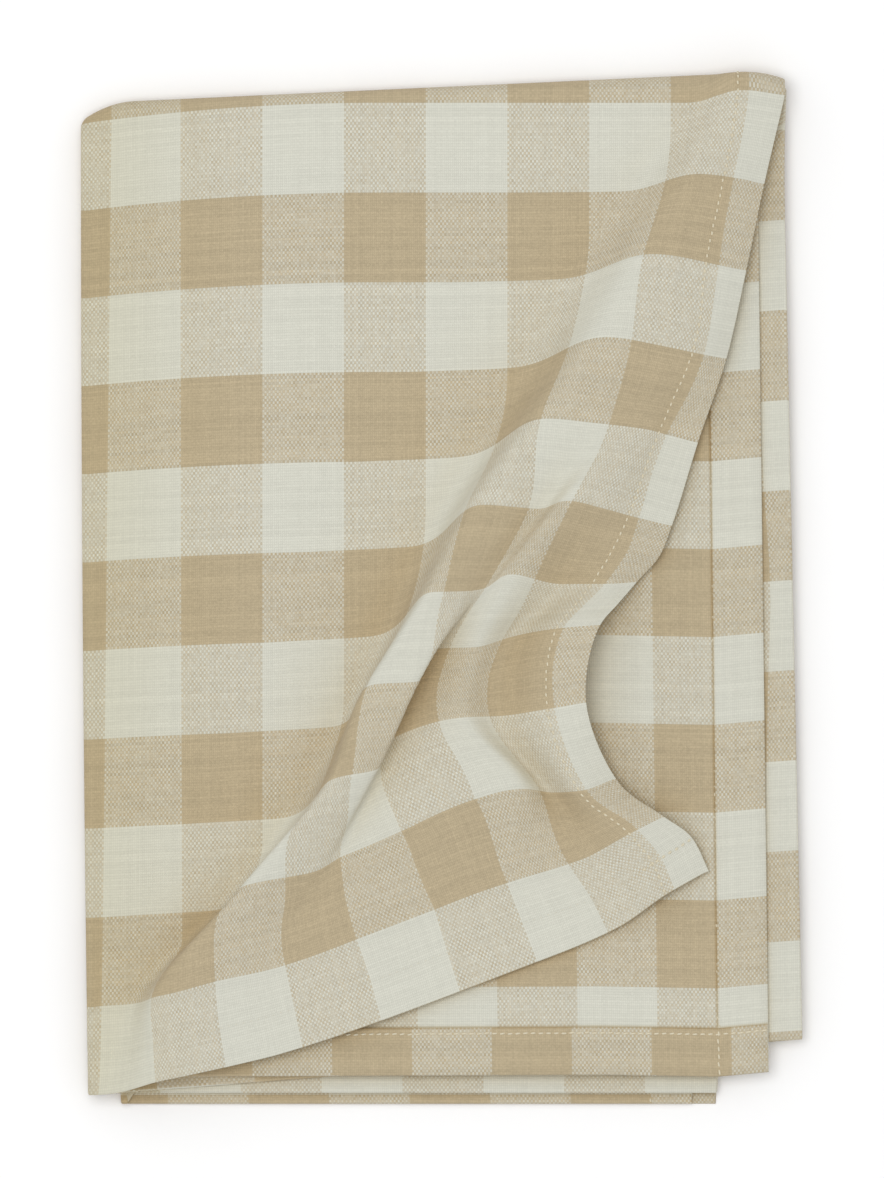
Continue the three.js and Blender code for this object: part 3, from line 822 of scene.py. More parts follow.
@dataclass
class Grid:
    """The columns of the sheet's mesh, with every vertex's place through, up and over the folds."""

    columns: list[tuple[float, list[float]]]
    s: Array = field(init=False)
    w: Array = field(init=False)
    starts: list[int] = field(init=False)

    def __post_init__(self) -> None:
        """Lists the vertices, column by column."""
        counts = [len(rows) for _, rows in self.columns]
        self.starts = [0, *np.cumsum(counts)]
        self.s = np.repeat([s for s, _ in self.columns], counts)
        self.w = np.concatenate([rows for _, rows in self.columns])

    def faces(self) -> list[tuple[int, ...]]:
        """Faces between neighbouring columns, wound so that they face the good side.

        Columns with the same rows get four-sided faces. Between others the next triangle always
        takes the lower row.

        Returns:
            The faces, as vertex numbers.
        """
        found = []
        for c in range(len(self.columns) - 1):
            left, right = self.columns[c][1], self.columns[c + 1][1]
            one, two = self.starts[c], self.starts[c + 1]
            if left == right:
                found += [(one + i, one + i + 1, two + i + 1, two + i) for i in range(len(left) - 1)]
                continue
            i = j = 0
            while i + 1 < len(left) or j + 1 < len(right):
                from_left = j + 1 == len(right) or (i + 1 < len(left) and left[i + 1] <= right[j + 1])
                if from_left:
                    found.append((one + i, one + i + 1, two + j))
                    i += 1
                else:
                    found.append((one + i, two + j + 1, two + j))
                    j += 1
        return found

    def border(self) -> list[int]:
        """The sheet's edge.

        Returns:
            The vertices round it in order, the first one only once.
        """
        last = len(self.columns) - 1
        bottom = [self.starts[c] for c in range(last)]
        far = list(range(self.starts[last], self.starts[last + 1] - 1))
        top = [self.starts[c + 1] - 1 for c in range(last, 0, -1)]
        near = list(range(self.starts[1] - 1, 0, -1))
        return bottom + far + top + near


def loaded_mesh(name: str, points: Array, faces: list[tuple[int, ...]]) -> bpy.types.Object:
    """A smooth-shaded object in the scene, made from points in millimetres.

    Args:
        name: the object's name.
        points: its vertices.
        faces: its faces, as vertex numbers.

    Returns:
        The object.
    """
    mesh = bpy.data.meshes.new(name)
    mesh.from_pydata((points * MM).tolist(), [], faces)
    mesh.polygons.foreach_set("use_smooth", [True] * len(mesh.polygons))
    mesh.update()
    piece = bpy.data.objects.new(name, mesh)
    bpy.context.scene.collection.objects.link(piece)
    return piece


@dataclass(frozen=True)
class Corners:
    """The face corners of a mesh."""

    vertex: Array  # of each corner
    face: Array  # of each corner
    starts: Array  # the first corner of each face
    totals: Array  # how many corners each face has

    @classmethod
    def of(cls, mesh: bpy.types.Mesh) -> "Corners":
        """Reads the corners of a mesh.

        Args:
            mesh: the mesh to read.

        Returns:
            Its corners.
        """
        vertex = np.empty(len(mesh.loops), dtype=np.int32)
        mesh.loops.foreach_get("vertex_index", vertex)
        starts = np.empty(len(mesh.polygons), dtype=np.int32)
        totals = np.empty(len(mesh.polygons), dtype=np.int32)
        mesh.polygons.foreach_get("loop_start", starts)
        mesh.polygons.foreach_get("loop_total", totals)
        return cls(vertex, np.repeat(np.arange(len(starts)), totals), starts, totals)

    def face_means(self, values: Array) -> Array:
        """For each corner, the mean of the values of its face's corners."""
        return (np.add.reduceat(values, self.starts) / self.totals)[self.face]


@dataclass(frozen=True)
class Tablecloth:
    """The cloth as one closed mesh, with its weave's coordinates on every face corner."""

    cloth: Cloth = Cloth()
    edge_bulge: float = 0.3  # how far the turned edge's middle stands out
    fold_bulge: float = 0.25  # how far past the right fold's line the solid is taken to end
    margin: float = 0.002  # round each half of the flat layout

    def middle_of_outline(self) -> Array:
        """Where the frame's origin lies.

        Returns:
            The point, from the lower left corner of the folded cloth.
        """
        low, high = (np.array(corner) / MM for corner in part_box("tablecloth"))
        folds = self.cloth.folds
        right = folds.right_fold[0] + self.fold_bulge
        return np.array([right - high[0], folds.lower_hem_lines[0] - low[1], 0.0])

    def build(self) -> bpy.types.Object:
        """Makes the cloth's mesh.

        Returns:
            The cloth, with no material on it yet.
        """
        rows = {kind: self.cloth.row_places(kind) for kind in Spacing}
        grid = Grid([(s, rows[kind]) for s, kind in self.cloth.columns()])
        count = len(grid.s)
        border = np.array(grid.border())
        front = grid.faces()
        back = [tuple(v + count for v in face[::-1]) for face in front]
        faces = front + back + self.rim_faces(border, count)
        points = self.points(grid, border)
        piece = loaded_mesh("gingham_cloth", points - self.middle_of_outline(), faces)
        vertex_of = np.concatenate([np.arange(count), np.arange(count), border])
        self.mark_threads(piece.data, grid, vertex_of, len(front))
        log.info("cloth: %d vertices, %d faces", len(points), len(piece.data.polygons))
        return piece

    def points(self, grid: Grid, border: Array) -> Array:
        """The mesh's vertices.

        Args:
            grid: the sheet's columns.
            border: the grid's vertices round its edge.

        Returns:
            The points of the good side, of the wrong side, and of the edge's middle.
        """
        s, w = grid.s, grid.w
        middle = self.cloth.folds.middle(s, w)
        along_s, along_w, normal = self.cloth.folds.tilts(s, w)
        good, wrong = self.cloth.half_thickness(s, w)
        side_out = np.where(s == 0.0, -1.0, np.where(s == SECTION_END, 1.0, 0.0))[:, None] * along_s
        end_out = np.where(w == 0.0, -1.0, np.where(w == LENGTH_END, 1.0, 0.0))[:, None] * along_w
        out = (side_out + end_out) * self.edge_bulge
        edge = middle + out + normal * ((good - wrong) / 2.0)[:, None]
        good_side, wrong_side = middle + normal * good[:, None], middle - normal * wrong[:, None]
        return np.concatenate([good_side, wrong_side, edge[border]])

    @staticmethod
    def rim_faces(border: Array, count: int) -> list[tuple[int, ...]]:
        """Faces from the good side's border to the edge's middle, and on to the wrong side's.

        Args:
            border: the grid's vertices round its edge, in order.
            count: how many vertices the grid has.

        Returns:
            The faces, as vertex numbers.
        """
        rims = []
        for k, vertex in enumerate(border):
            after = (k + 1) % len(border)
            one, two = int(vertex), int(border[after])
            mid_one, mid_two = 2 * count + k, 2 * count + after
            rims.append((one, two, mid_two, mid_one))
            rims.append((mid_one, mid_two, two + count, one + count))
        return rims

    def mark_threads(self, mesh: bpy.types.Mesh, grid: Grid, vertex_of: Array, front: int) -> None:
        """Writes the weave's coordinates, the distance to the turned edge, and the flat layout.

        Args:
            mesh: the cloth's mesh.
            grid: the columns that it was made from.
            vertex_of: the grid's vertex for each of the mesh's vertices.
            front: how many faces the good side has.
        """
        hem = self.cloth.hem
        corners = Corners.of(mesh)
        corner = vertex_of[corners.vertex]
        wrong = (corners.face >= front) & (corners.face < 2 * front)
        side, end = self.cloth.edge_distances(grid.s, grid.w)
        at_end = wrong & (corners.face_means(end[corner]) < hem.end_turn)
        at_side = wrong & (corners.face_means(side[corner]) < hem.side_turn) & ~at_end
        warp, weft = self.threads(grid, corner, at_side, at_end)
        # The distance to the turned edge, on the wrong side only, which places the painted shade beside it.
        crease = np.where(wrong, self.to_crease(side, end)[corner], self.cloth.length)
        for name, values in (("warp", warp), ("weft", weft), ("crease", crease)):
            layer = mesh.attributes.new(name, "FLOAT", "CORNER")
            layer.data.foreach_set("value", values.astype(np.float32))
        across, up = grid.s[corner] / SECTION_END, grid.w[corner] / LENGTH_END
        self.lay_out(mesh, across, up, corners.face >= front)

    def threads(self, grid: Grid, corner: Array, at_side: Array, at_end: Array) -> tuple[Array, Array]:
        """The weave's coordinates, turned back on themselves where the hems are turned.

        Args:
            grid: the sheet's columns.
            corner: the grid's vertex for each face corner.
            at_side: whether the corner is on a side hem's turning.
            at_end: whether it is on an end hem's.

        Returns:
            Where each corner lies across the warp and across the weft, in millimetres.
        """
        folds, check = self.cloth.folds, self.cloth.check
        s, w = grid.s, grid.w
        side = np.where(s < SECTION_END / 2.0, 0.0, SECTION_END)
        end = np.where(w < LENGTH_END / 2.0, 0.0, LENGTH_END)
        warp = (check.stripes(folds, s, w) * check.stripe_wide)[corner]
        weft = (check.rows(folds, s, w) * check.stripe_long)[corner]
        side_warp = (check.stripes(folds, side, w) * check.stripe_wide)[corner]
        end_weft = (check.rows(folds, s, end) * check.stripe_long)[corner]
        warp = np.where(at_side, 2.0 * side_warp - warp, warp)
        warp = np.where(at_end, warp - self.cloth.hem.askew, warp)
        return warp, np.where(at_end, 2.0 * end_weft - weft, weft)

    def to_crease(self, side: Array, end: Array) -> Array:
        """Distances to the nearest turning's inner edge.

        Args:
            side: distances to the nearest side hem.
            end: distances to the nearest end hem, whose turning covers the sides' at the corners.

        Returns:
            The distances, in millimetres.
        """
        hem = self.cloth.hem
        from_side = np.where(end < hem.end_turn, self.cloth.length, np.abs(side - hem.side_turn))
        return np.minimum(from_side, np.abs(end - hem.end_turn))

    def lay_out(self, mesh: bpy.types.Mesh, across: Array, up: Array, is_back: Array) -> None:
        """Writes the flat layout that the finish can be baked on: one side above the other.

        Args:
            mesh: the cloth's mesh.
            across: each corner's share of the way across the flat cloth.
            up: each corner's share of the way up it.
            is_back: whether the corner is on the wrong side.
        """
        layout = mesh.uv_layers.new(name="OFBake")
        u = mixed(self.margin, 1.0 - self.margin, across)
        v = mixed(self.margin, 0.5 - self.margin, up) + np.where(is_back, 0.5, 0.0)
        layout.uv.foreach_set("vector", np.stack([u, v], axis=1).astype(np.float32).ravel())


@dataclass(frozen=True)
class HemStitches:
    """The lines of stitches that hold the turned edges, on both sides of the cloth."""

    cloth: Cloth = Cloth()
    length: float = 2.6  # of the thread that shows between two holes
    thickness: float = 1.05
    rise: float = 0.06  # of the thread's middle over the cloth
    dip: float = 0.34  # of its ends into the cloth
    bend: int = 4  # power of the curve that it bends down along
    blunt: float = 0.3  # least share of its section that is left at the ends
    sides: int = 5
    turned: float = 0.25  # of a side, by which its section is turned
    wander: float = 0.12  # sideways, from stitch to stitch
    slant: float = 0.12  # of each stitch across the seam
    slant_spread: float = 0.4  # share of that by which it varies
    short: float = 0.78  # of that length, on the good side
    sunk: float = 0.5  # how much deeper some of the stitches lie
    above_floor: float = 0.02  # those under the lowest layer are pressed flat
    corner: float = 0.09  # share of the layer next to its hem where the end seams' don't
    rings: tuple[float, ...] = (-1.0, -0.86, -0.45, 0.45, 0.86, 1.0)
    seam_points: int = 4001  # that a seam is measured with
    seed: int = 7

    def one_stitch(self) -> tuple[Array, list[tuple[int, ...]]]:
        """A single stitch, lying along the first axis and standing up along the third.

        Returns:
            Its points and its faces.
        """
        points = []
        for place in self.rings:
            bent = place**self.bend
            radius = 0.5 * self.thickness * max(self.blunt, 1.0 - bent) ** 0.5
            drop = self.rise - (self.rise + self.dip) * bent
            for k in range(self.sides):
                angle = 2.0 * np.pi * (k + self.turned) / self.sides
                across, up = radius * np.cos(angle), drop + radius * np.sin(angle)
                points.append((0.5 * self.length * place, across, up))
        faces = [tuple(range(self.sides))[::-1]]
        for ring in range(len(self.rings) - 1):
            for k in range(self.sides):
                one, two = ring * self.sides + k, ring * self.sides + (k + 1) % self.sides
                faces.append((one, two, two + self.sides, one + self.sides))
        last = (len(self.rings) - 1) * self.sides
        faces.append(tuple(last + k for k in range(self.sides)))
        return np.array(points), faces

    def seams(self) -> list[tuple[Array, Array, bool]]:
        """The side hems' seams and the end hems'.

        Returns:
            For each, places s and w close together along it, and whether it runs up the cloth.
        """
        hem = self.cloth.hem
        side, end = hem.side_seam / self.cloth.folds.width, hem.end_seam / self.cloth.length
        share = np.linspace(0.0, 1.0, self.seam_points)
        across, up = SECTION_END * share, LENGTH_END * share
        return [
            (np.full_like(share, side), up, True),
            (np.full_like(share, SECTION_END - side * hem.second), up, True),
            (across, np.full_like(share, end), False),
            (across, np.full_like(share, LENGTH_END - end), False),
        ]

    def seam_places(self, s: Array, w: Array) -> tuple[Array, Array]:
        """Evenly spaced stitches along a seam.

        Args:
            s: places through the section, of points close together along the seam.
            w: their places up, over and down.

        Returns:
            s and w of each stitch.
        """
        points = self.cloth.folds.middle(s, w)
        run = np.concatenate([[0.0], np.cumsum(np.linalg.norm(np.diff(points, axis=0), axis=1))])
        at = np.arange(0.5 * self.cloth.hem.stitch, run[-1], self.cloth.hem.stitch)
        return np.interp(at, run, s), np.interp(at, run, w)

    def depth(self, s: Array, w: Array, up: bool, facing: float) -> Array:
        """How much deeper the stitches of one seam lie.

        Args:
            s: places through the section.
            w: places up, over and down.
            up: whether the seam runs up the cloth.
            facing: 1 for the good side, -1 for the wrong side.

        Returns:
            The depths. The second side seam sinks in on the wrong side, and the end seams on the
            good side.
        """
        end = self.cloth.edge_distances(s, w)[1]
        if up:
            deep = (s > SECTION_END / 2.0) & (end > self.cloth.hem.end_turn) & (facing < 0.0)
        else:
            deep = (s > self.corner) & (facing > 0.0)
        return np.where(deep, self.sunk, 0.0)

    def sewn(
        self, seam: tuple[Array, Array, bool], stitch: Array, chance: np.random.Generator
    ) -> list[Array]:
        """The stitches of one seam, on both sides of the cloth.

        Args:
            seam: places s and w along it, and whether it runs up the cloth.
            stitch: the points of a single stitch.
            chance: what the stitches' unevenness is drawn from.

        Returns:
            The points of each stitch.
        """
        line_s, line_w, up = seam
        s, w = self.seam_places(line_s, line_w)
        middle = self.cloth.folds.middle(s, w)
        along_s, along_w, normal = self.cloth.folds.tilts(s, w)
        along = along_w if up else along_s
        placed = []
        for half, facing in zip(self.cloth.half_thickness(s, w), (1.0, -1.0)):
            out = normal * facing
            across = np.cross(out, along)
            stray = chance.normal(0.0, self.wander, (len(s), 1))
            turn = chance.normal(self.slant, self.slant_spread * self.slant, (len(s), 1))
            height = half - self.depth(s, w, up, facing)
            centre = middle + out * height[:, None] + across * stray
            share = self.short if facing > 0.0 else 1.0
            axes = np.stack([(along + turn * across) * share, across - turn * along, out], axis=1)
            placed += list(centre[:, None, :] + stitch @ axes)
        return placed

    def build(self, shift: Array) -> bpy.types.Object:
        """Makes all the stitches as one mesh.

        Args:
            shift: where the frame's origin lies.

        Returns:
            The stitches.
        """
        stitch, stitch_faces = self.one_stitch()
        chance = np.random.default_rng(self.seed)
        stitches = [one for seam in self.seams() for one in self.sewn(seam, stitch, chance)]
        firsts = range(0, len(stitches) * len(stitch), len(stitch))
        faces = [tuple(v + first for v in face) for first in firsts for face in stitch_faces]
        points = np.concatenate(stitches) - shift
        points[:, 2] = np.maximum(points[:, 2], self.above_floor)
        piece = loaded_mesh("hem_stitches", points, faces)
        log.info("stitches: %d, with %d faces", len(stitches), len(faces))
        return piece


class Wiring:
    """Adds nodes to a shader tree and links them."""

    mix_takes: tuple[int, ...] = (0, 6, 7)  # a Mix node's factor and its two colours
    mix_gives: int = 2  # its colour

    def __init__(self, tree: bpy.types.NodeTree) -> None:
        """Takes the shader tree that nodes are added to."""
        self.tree = tree

    def node(self, kind: str, **settings: object) -> bpy.types.Node:
        """Adds a node.

        Args:
            kind: the node's type name.
            settings: its properties.

        Returns:
            The node.
        """
        made = self.tree.nodes.new(kind)
        for name, value in settings.items():
            setattr(made, name, value)
        return made

    def feed(self, socket: bpy.types.NodeSocket, value: object) -> None:
        """Links a socket to another one, or sets its value.

        Args:
            socket: the input to feed.
            value: an output, or a number or colour.
        """
        if isinstance(value, bpy.types.NodeSocket):
            self.tree.links.new(value, socket)
        else:
            socket.default_value = value

    def math(self, operation: str, *values: object) -> bpy.types.NodeSocket:
        """Adds a Math node.

        Args:
            operation: what it does.
            values: its one, two or three values.

        Returns:
            Its result.
        """
        made = self.node("ShaderNodeMath", operation=operation)
        for socket, value in zip(made.inputs, values):
            self.feed(socket, value)
        return made.outputs[0]

    def blend(self, share: object, low: object, high: object, **settings: object) -> bpy.types.NodeSocket:
        """Blends two colours.

        Args:
            share: how much of the second one there is.
            low: the first colour.
            high: the second colour.
            settings: properties of the Mix node.

        Returns:
            The colour.
        """
        made = self.node("ShaderNodeMix", data_type="RGBA", **settings)
        for place, value in zip(self.mix_takes, (share, low, high)):
            self.feed(made.inputs[place], value)
        return made.outputs[self.mix_gives]

    def tinted(self, colour: object, share: object, tint: Colour) -> bpy.types.NodeSocket:
        """A colour multiplied by a tint, for a share of it that is held between 0 and 1."""
        return self.blend(share, colour, tint, blend_type="MULTIPLY", clamp_factor=True)

    def scaled(self, vector: object, scale: object) -> bpy.types.NodeSocket:
        """Scales a vector or a colour.

        Args:
            vector: the vector.
            scale: the number that it is multiplied by.

        Returns:
            The result.
        """
        made = self.node("ShaderNodeVectorMath", operation="SCALE")
        self.feed(made.inputs[0], vector)
        self.feed(made.inputs["Scale"], scale)
        return made.outputs[0]

    def toned(self, colour: object, tone: object, depth: float) -> bpy.types.NodeSocket:
        """A colour made lighter or darker.

        Args:
            colour: the colour.
            tone: a value around zero.
            depth: how strongly it counts.

        Returns:
            The colour, toned.
        """
        plain = colour[:3] if isinstance(colour, tuple) else colour
        return self.scaled(plain, self.math("MULTIPLY_ADD", tone, depth, 1.0))

    def combined(self, x: object, y: object, z: object = 0.0) -> bpy.types.NodeSocket:
        """Makes a vector.

        Args:
            x: its first value.
            y: its second value.
            z: its third value.

        Returns:
            The vector.
        """
        made = self.node("ShaderNodeCombineXYZ")
        for socket, value in zip(made.inputs, (x, y, z)):
            self.feed(socket, value)
        return made.outputs[0]

    def noise(self, place: object, scale: float, detail: float = 2.0) -> bpy.types.NodeSocket:
        """Smooth noise around zero.

        Args:
            place: where it is taken.
            scale: how fine it is.
            detail: how many finer layers it has.

        Returns:
            The noise, from about -0.5 to 0.5.
        """
        made = self.node("ShaderNodeTexNoise", noise_dimensions="3D")
        self.feed(made.inputs["Vector"], place)
        made.inputs["Scale"].default_value = scale
        made.inputs["Detail"].default_value = detail
        return self.math("SUBTRACT", made.outputs["Fac"], 0.5)

    def chance(self, number: object) -> bpy.types.NodeSocket:
        """A random value for each number.

        Args:
            number: the number.

        Returns:
            The value, from -0.5 to 0.5.
        """
        made = self.node("ShaderNodeTexWhiteNoise", noise_dimensions="1D")
        self.feed(made.inputs["W"], number)
        return self.math("SUBTRACT", made.outputs["Value"], 0.5)

    def attribute(self, name: str) -> bpy.types.NodeSocket:
        """A value that the mesh carries."""
        return self.node("ShaderNodeAttribute", attribute_name=name).outputs["Fac"]

    def placed_group(self, group: bpy.types.NodeTree, **values: object) -> bpy.types.Node:
        """Places a node group.

        Args:
            group: the group.
            values: what its inputs take, by name, with _ for each space.

        Returns:
            The group's node.
        """
        made = self.node("ShaderNodeGroup", node_tree=group)
        for name, value in values.items():
            self.feed(made.inputs[name.replace("_", " ")], value)
        return made


@dataclass(frozen=True)
class NodeGroup:
    """A node group that is being made: its wiring, its inputs and its outputs, by name."""

    wiring: Wiring
    takes: dict[str, bpy.types.NodeSocket]
    gives: dict[str, bpy.types.NodeSocket]

    @classmethod
    def start(cls, name: str, takes: tuple[str, ...], gives: tuple[str, ...]) -> "NodeGroup":
        """Makes an empty group with named sockets for values.

        Args:
            name: the group's name.
            takes: the names of its inputs.
            gives: the names of its outputs.

        Returns:
            The group.
        """
        tree = bpy.data.node_groups.new(name, "ShaderNodeTree")
        for socket in takes:
            tree.interface.new_socket(name=socket, in_out="INPUT", socket_type="NodeSocketFloat")
        for socket in gives:
            tree.interface.new_socket(name=socket, in_out="OUTPUT", socket_type="NodeSocketFloat")
        wiring = Wiring(tree)
        entry, leave = wiring.node("NodeGroupInput"), wiring.node("NodeGroupOutput")
        return cls(wiring, {n: entry.outputs[n] for n in takes}, {n: leave.inputs[n] for n in gives})

    def give(self, name: str, value: bpy.types.NodeSocket) -> None:
        """Puts a value out of the group."""
        self.wiring.feed(self.gives[name], value)


@dataclass(frozen=True)
class CottonFibre:
    """Fine unevenness of spun cotton: a tone and a height, both around zero."""

    tone_noise: tuple[float, float] = (0.35, 3.0)  # scale and detail
    height_noise: tuple[float, float] = (1.0, 2.0)

    def build(self) -> bpy.types.NodeTree:
        """Makes the node group.

        Returns:
            The group.
        """
        group = NodeGroup.start("cotton_fibre", ("Fineness",), ("Tone", "Height"))
        wiring = group.wiring
        place = wiring.node("ShaderNodeTexCoord").outputs["Object"]
        fine = wiring.scaled(place, group.takes["Fineness"])
        group.give("Tone", wiring.noise(fine, *self.tone_noise))
        group.give("Height", wiring.noise(fine, *self.height_noise))
        return wiring.tree


@dataclass(frozen=True)
class PlainWeave:
    """One warp thread over, one under: which thread shows, how high it stands, and its tone.

    A depth is the third coordinate of a noise, which keeps it apart from the others.
    """

    stray_noise: tuple[float, float] = (0.045, 1.0)  # scale and detail
    stray_depths: tuple[float, float] = (0.0, 40.0)  # of the warp's and of the weft's
    strays: tuple[float, float] = (0.5, 0.7)  # how far warp and weft threads wander, in millimetres
    worn_noise: tuple[float, float] = (0.11, 2.0)  # scale and detail
    worn_depth: float = 90.0
    worn: float = 2.2  # how much the contrast differs from patch to patch
    crossed: float = 1.1  # how much it differs from crossing to crossing
    crossing_step: float = 57.3  # between warp threads, so that crossings have their own numbers
    arch: float = 0.6  # how far down a thread goes between two crossings
    tone_offsets: tuple[float, float] = (0.0, 500.0)  # of the warp's and of the weft's
    slub_places: tuple[float, float] = (3.7, 0.12)  # of noise, from thread to thread and along one
    slubs: float = 1.6  # how much the tone varies along a thread
    own_tones: float = 0.8  # how much it varies from thread to thread

    def build(self) -> bpy.types.NodeTree:
        """Makes the node group.

        Returns:
            The group.
        """
        group = NodeGroup.start(
            "plain_weave", ("Warp", "Weft", "Warp Pitch", "Weft Pitch", "Warp Share", "Contrast"),
            ("Warp Shows", "Height", "Warp Tone", "Weft Tone"),
        )
        math = group.wiring.math
        warp = self.thread_count(group, "Warp", "Weft", 0)
        weft = self.thread_count(group, "Weft", "Warp", 1)
        indices = math("FLOOR", warp), math("FLOOR", weft)
        parity = math("FLOORED_MODULO", math("ADD", *indices), 2.0)
        warp_over = math("LESS_THAN", parity, 0.5)
        sway = math("MULTIPLY", math("SUBTRACT", warp_over, 0.5), self.contrast(group, *indices))
        group.give("Warp Shows", math("ADD", sway, group.takes["Warp Share"]))
        group.give("Height", self.height(group.wiring, warp, weft, warp_over))
        group.give("Warp Tone", self.tone(group.wiring, indices[0], weft, self.tone_offsets[0]))
        group.give("Weft Tone", self.tone(group.wiring, indices[1], warp, self.tone_offsets[1]))
        return group.wiring.tree

    def thread_count(self, group: NodeGroup, own: str, other: str, which: int) -> bpy.types.NodeSocket:
        """Counts one set of threads, each of which wanders a little.

        Args:
            group: the node group.
            own: the input that says where a point lies across these threads.
            other: the input for the other threads.
            which: 0 for the warp, 1 for the weft.

        Returns:
            The threads passed so far, whole where two of them meet.
        """
        wiring, takes = group.wiring, group.takes
        # The other threads' place comes first, which gives the two sets different noise.
        place = wiring.combined(takes[other], takes[own], self.stray_depths[which])
        stray = wiring.noise(place, *self.stray_noise)
        wandered = wiring.math("MULTIPLY_ADD", stray, self.strays[which], takes[own])
        return wiring.math("DIVIDE", wandered, takes[f"{own} Pitch"])

    def contrast(self, group: NodeGroup, warp_index: object, weft_index: object) -> bpy.types.NodeSocket:
        """How clearly the upper thread shows, which differs by patch and by crossing.

        Args:
            group: the node group.
            warp_index: the number of the warp thread.
            weft_index: the number of the weft thread.

        Returns:
            The contrast.
        """
        wiring, takes = group.wiring, group.takes
        place = wiring.combined(takes["Warp"], takes["Weft"], self.worn_depth)
        worn = wiring.noise(place, *self.worn_noise)
        crossing = wiring.chance(
            wiring.math("MULTIPLY_ADD", warp_index, self.crossing_step, weft_index)
        )
        patch = wiring.math("MULTIPLY", worn, self.worn)
        uneven = wiring.math("MULTIPLY_ADD", crossing, self.crossed, patch)
        return wiring.math("MULTIPLY", takes["Contrast"], wiring.math("ADD", uneven, 1.0))

    def height(self, wiring: Wiring, warp: object, weft: object, warp_over: object) -> bpy.types.NodeSocket:
        """How high the thread that shows stands.

        Args:
            wiring: the group's wiring.
            warp: the warp threads passed so far.
            weft: the weft threads passed so far.
            warp_over: 1 where the warp is on top, 0 where the weft is.

        Returns:
            The height, from 0 to 1.
        """
        math = wiring.math
        across_warp, across_weft = (
            math("ABSOLUTE", math("MULTIPLY_ADD", math("FRACT", place), 2.0, -1.0))
            for place in (warp, weft)
        )

        def crown(across: object, along: object) -> bpy.types.NodeSocket:
            """The height of a thread that comes up and goes down again.

            Args:
                across: how far from the thread's middle a point is.
                along: how far from the crossing's middle it is, along the thread.

            Returns:
                The height.
            """
            rounded = math("SUBTRACT", 1.0, math("POWER", across, 2.0))
            arched = math("SUBTRACT", 1.0, math("MULTIPLY", math("POWER", along, 2.0), self.arch))
            return math("MULTIPLY", rounded, arched)

        warp_height, weft_height = crown(across_warp, across_weft), crown(across_weft, across_warp)
        picked = wiring.node("ShaderNodeMix", data_type="FLOAT")
        values = (warp_over, weft_height, warp_height)
        for socket, value in zip(picked.inputs[:1] + picked.inputs[2:4], values):
            wiring.feed(socket, value)
        return picked.outputs[0]

    def tone(self, wiring: Wiring, index: object, along: object, offset: float) -> bpy.types.NodeSocket:
        """The tone of a thread, with its slubs.

        Args:
            wiring: the group's wiring.
            index: the thread's number.
            along: the other threads passed so far, along this one.
            offset: what tells the warp's chances from the weft's.

        Returns:
            The tone, around zero.
        """
        math = wiring.math
        own = wiring.chance(math("ADD", index, offset + 0.5))
        apart, run = self.slub_places
        place = wiring.combined(math("MULTIPLY", index, apart), math("MULTIPLY", along, run), offset)
        slub = wiring.noise(place, 1.0)
        return math("MULTIPLY_ADD", slub, self.slubs, math("MULTIPLY", own, self.own_tones))


@dataclass(frozen=True)
class CottonSurface:
    """How a cotton surface takes the light, and how rough it is to the eye."""

    sockets: tuple[tuple[str, float], ...]  # of the shader, with what each is set to
    fineness: float  # of the fibres
    bump: float  # strength
    bump_height: float  # in millimetres

    def start(self, name: str) -> tuple[bpy.types.Material, Wiring, bpy.types.Node]:
        """Makes a material with this surface.

        Args:
            name: the material's name.

        Returns:
            The material, its wiring and its shader.
        """
        material = bpy.data.materials.new(name)
        material.use_nodes = True
        shader = material.node_tree.nodes["Principled BSDF"]
        for socket, value in self.sockets:
            shader.inputs[socket].default_value = value
        return material, Wiring(material.node_tree), shader

    def roughen(self, wiring: Wiring, shader: bpy.types.Node, height: bpy.types.NodeSocket) -> None:
        """Adds the bump.

        Args:
            wiring: the material's wiring.
            shader: its shader.
            height: how high each point stands, where 1 is the bump's height.
        """
        bump = wiring.node("ShaderNodeBump")
        bump.inputs["Strength"].default_value = self.bump
        bump.inputs["Distance"].default_value = self.bump_height * MM
        wiring.feed(bump.inputs["Height"], height)
        wiring.feed(shader.inputs["Normal"], bump.outputs["Normal"])


@dataclass(frozen=True)
class Dye:
    """A colour of thread, and how much its tone varies."""

    colour: Colour
    threads: float  # from thread to thread, and along each
    specks: float  # from fibre to fibre


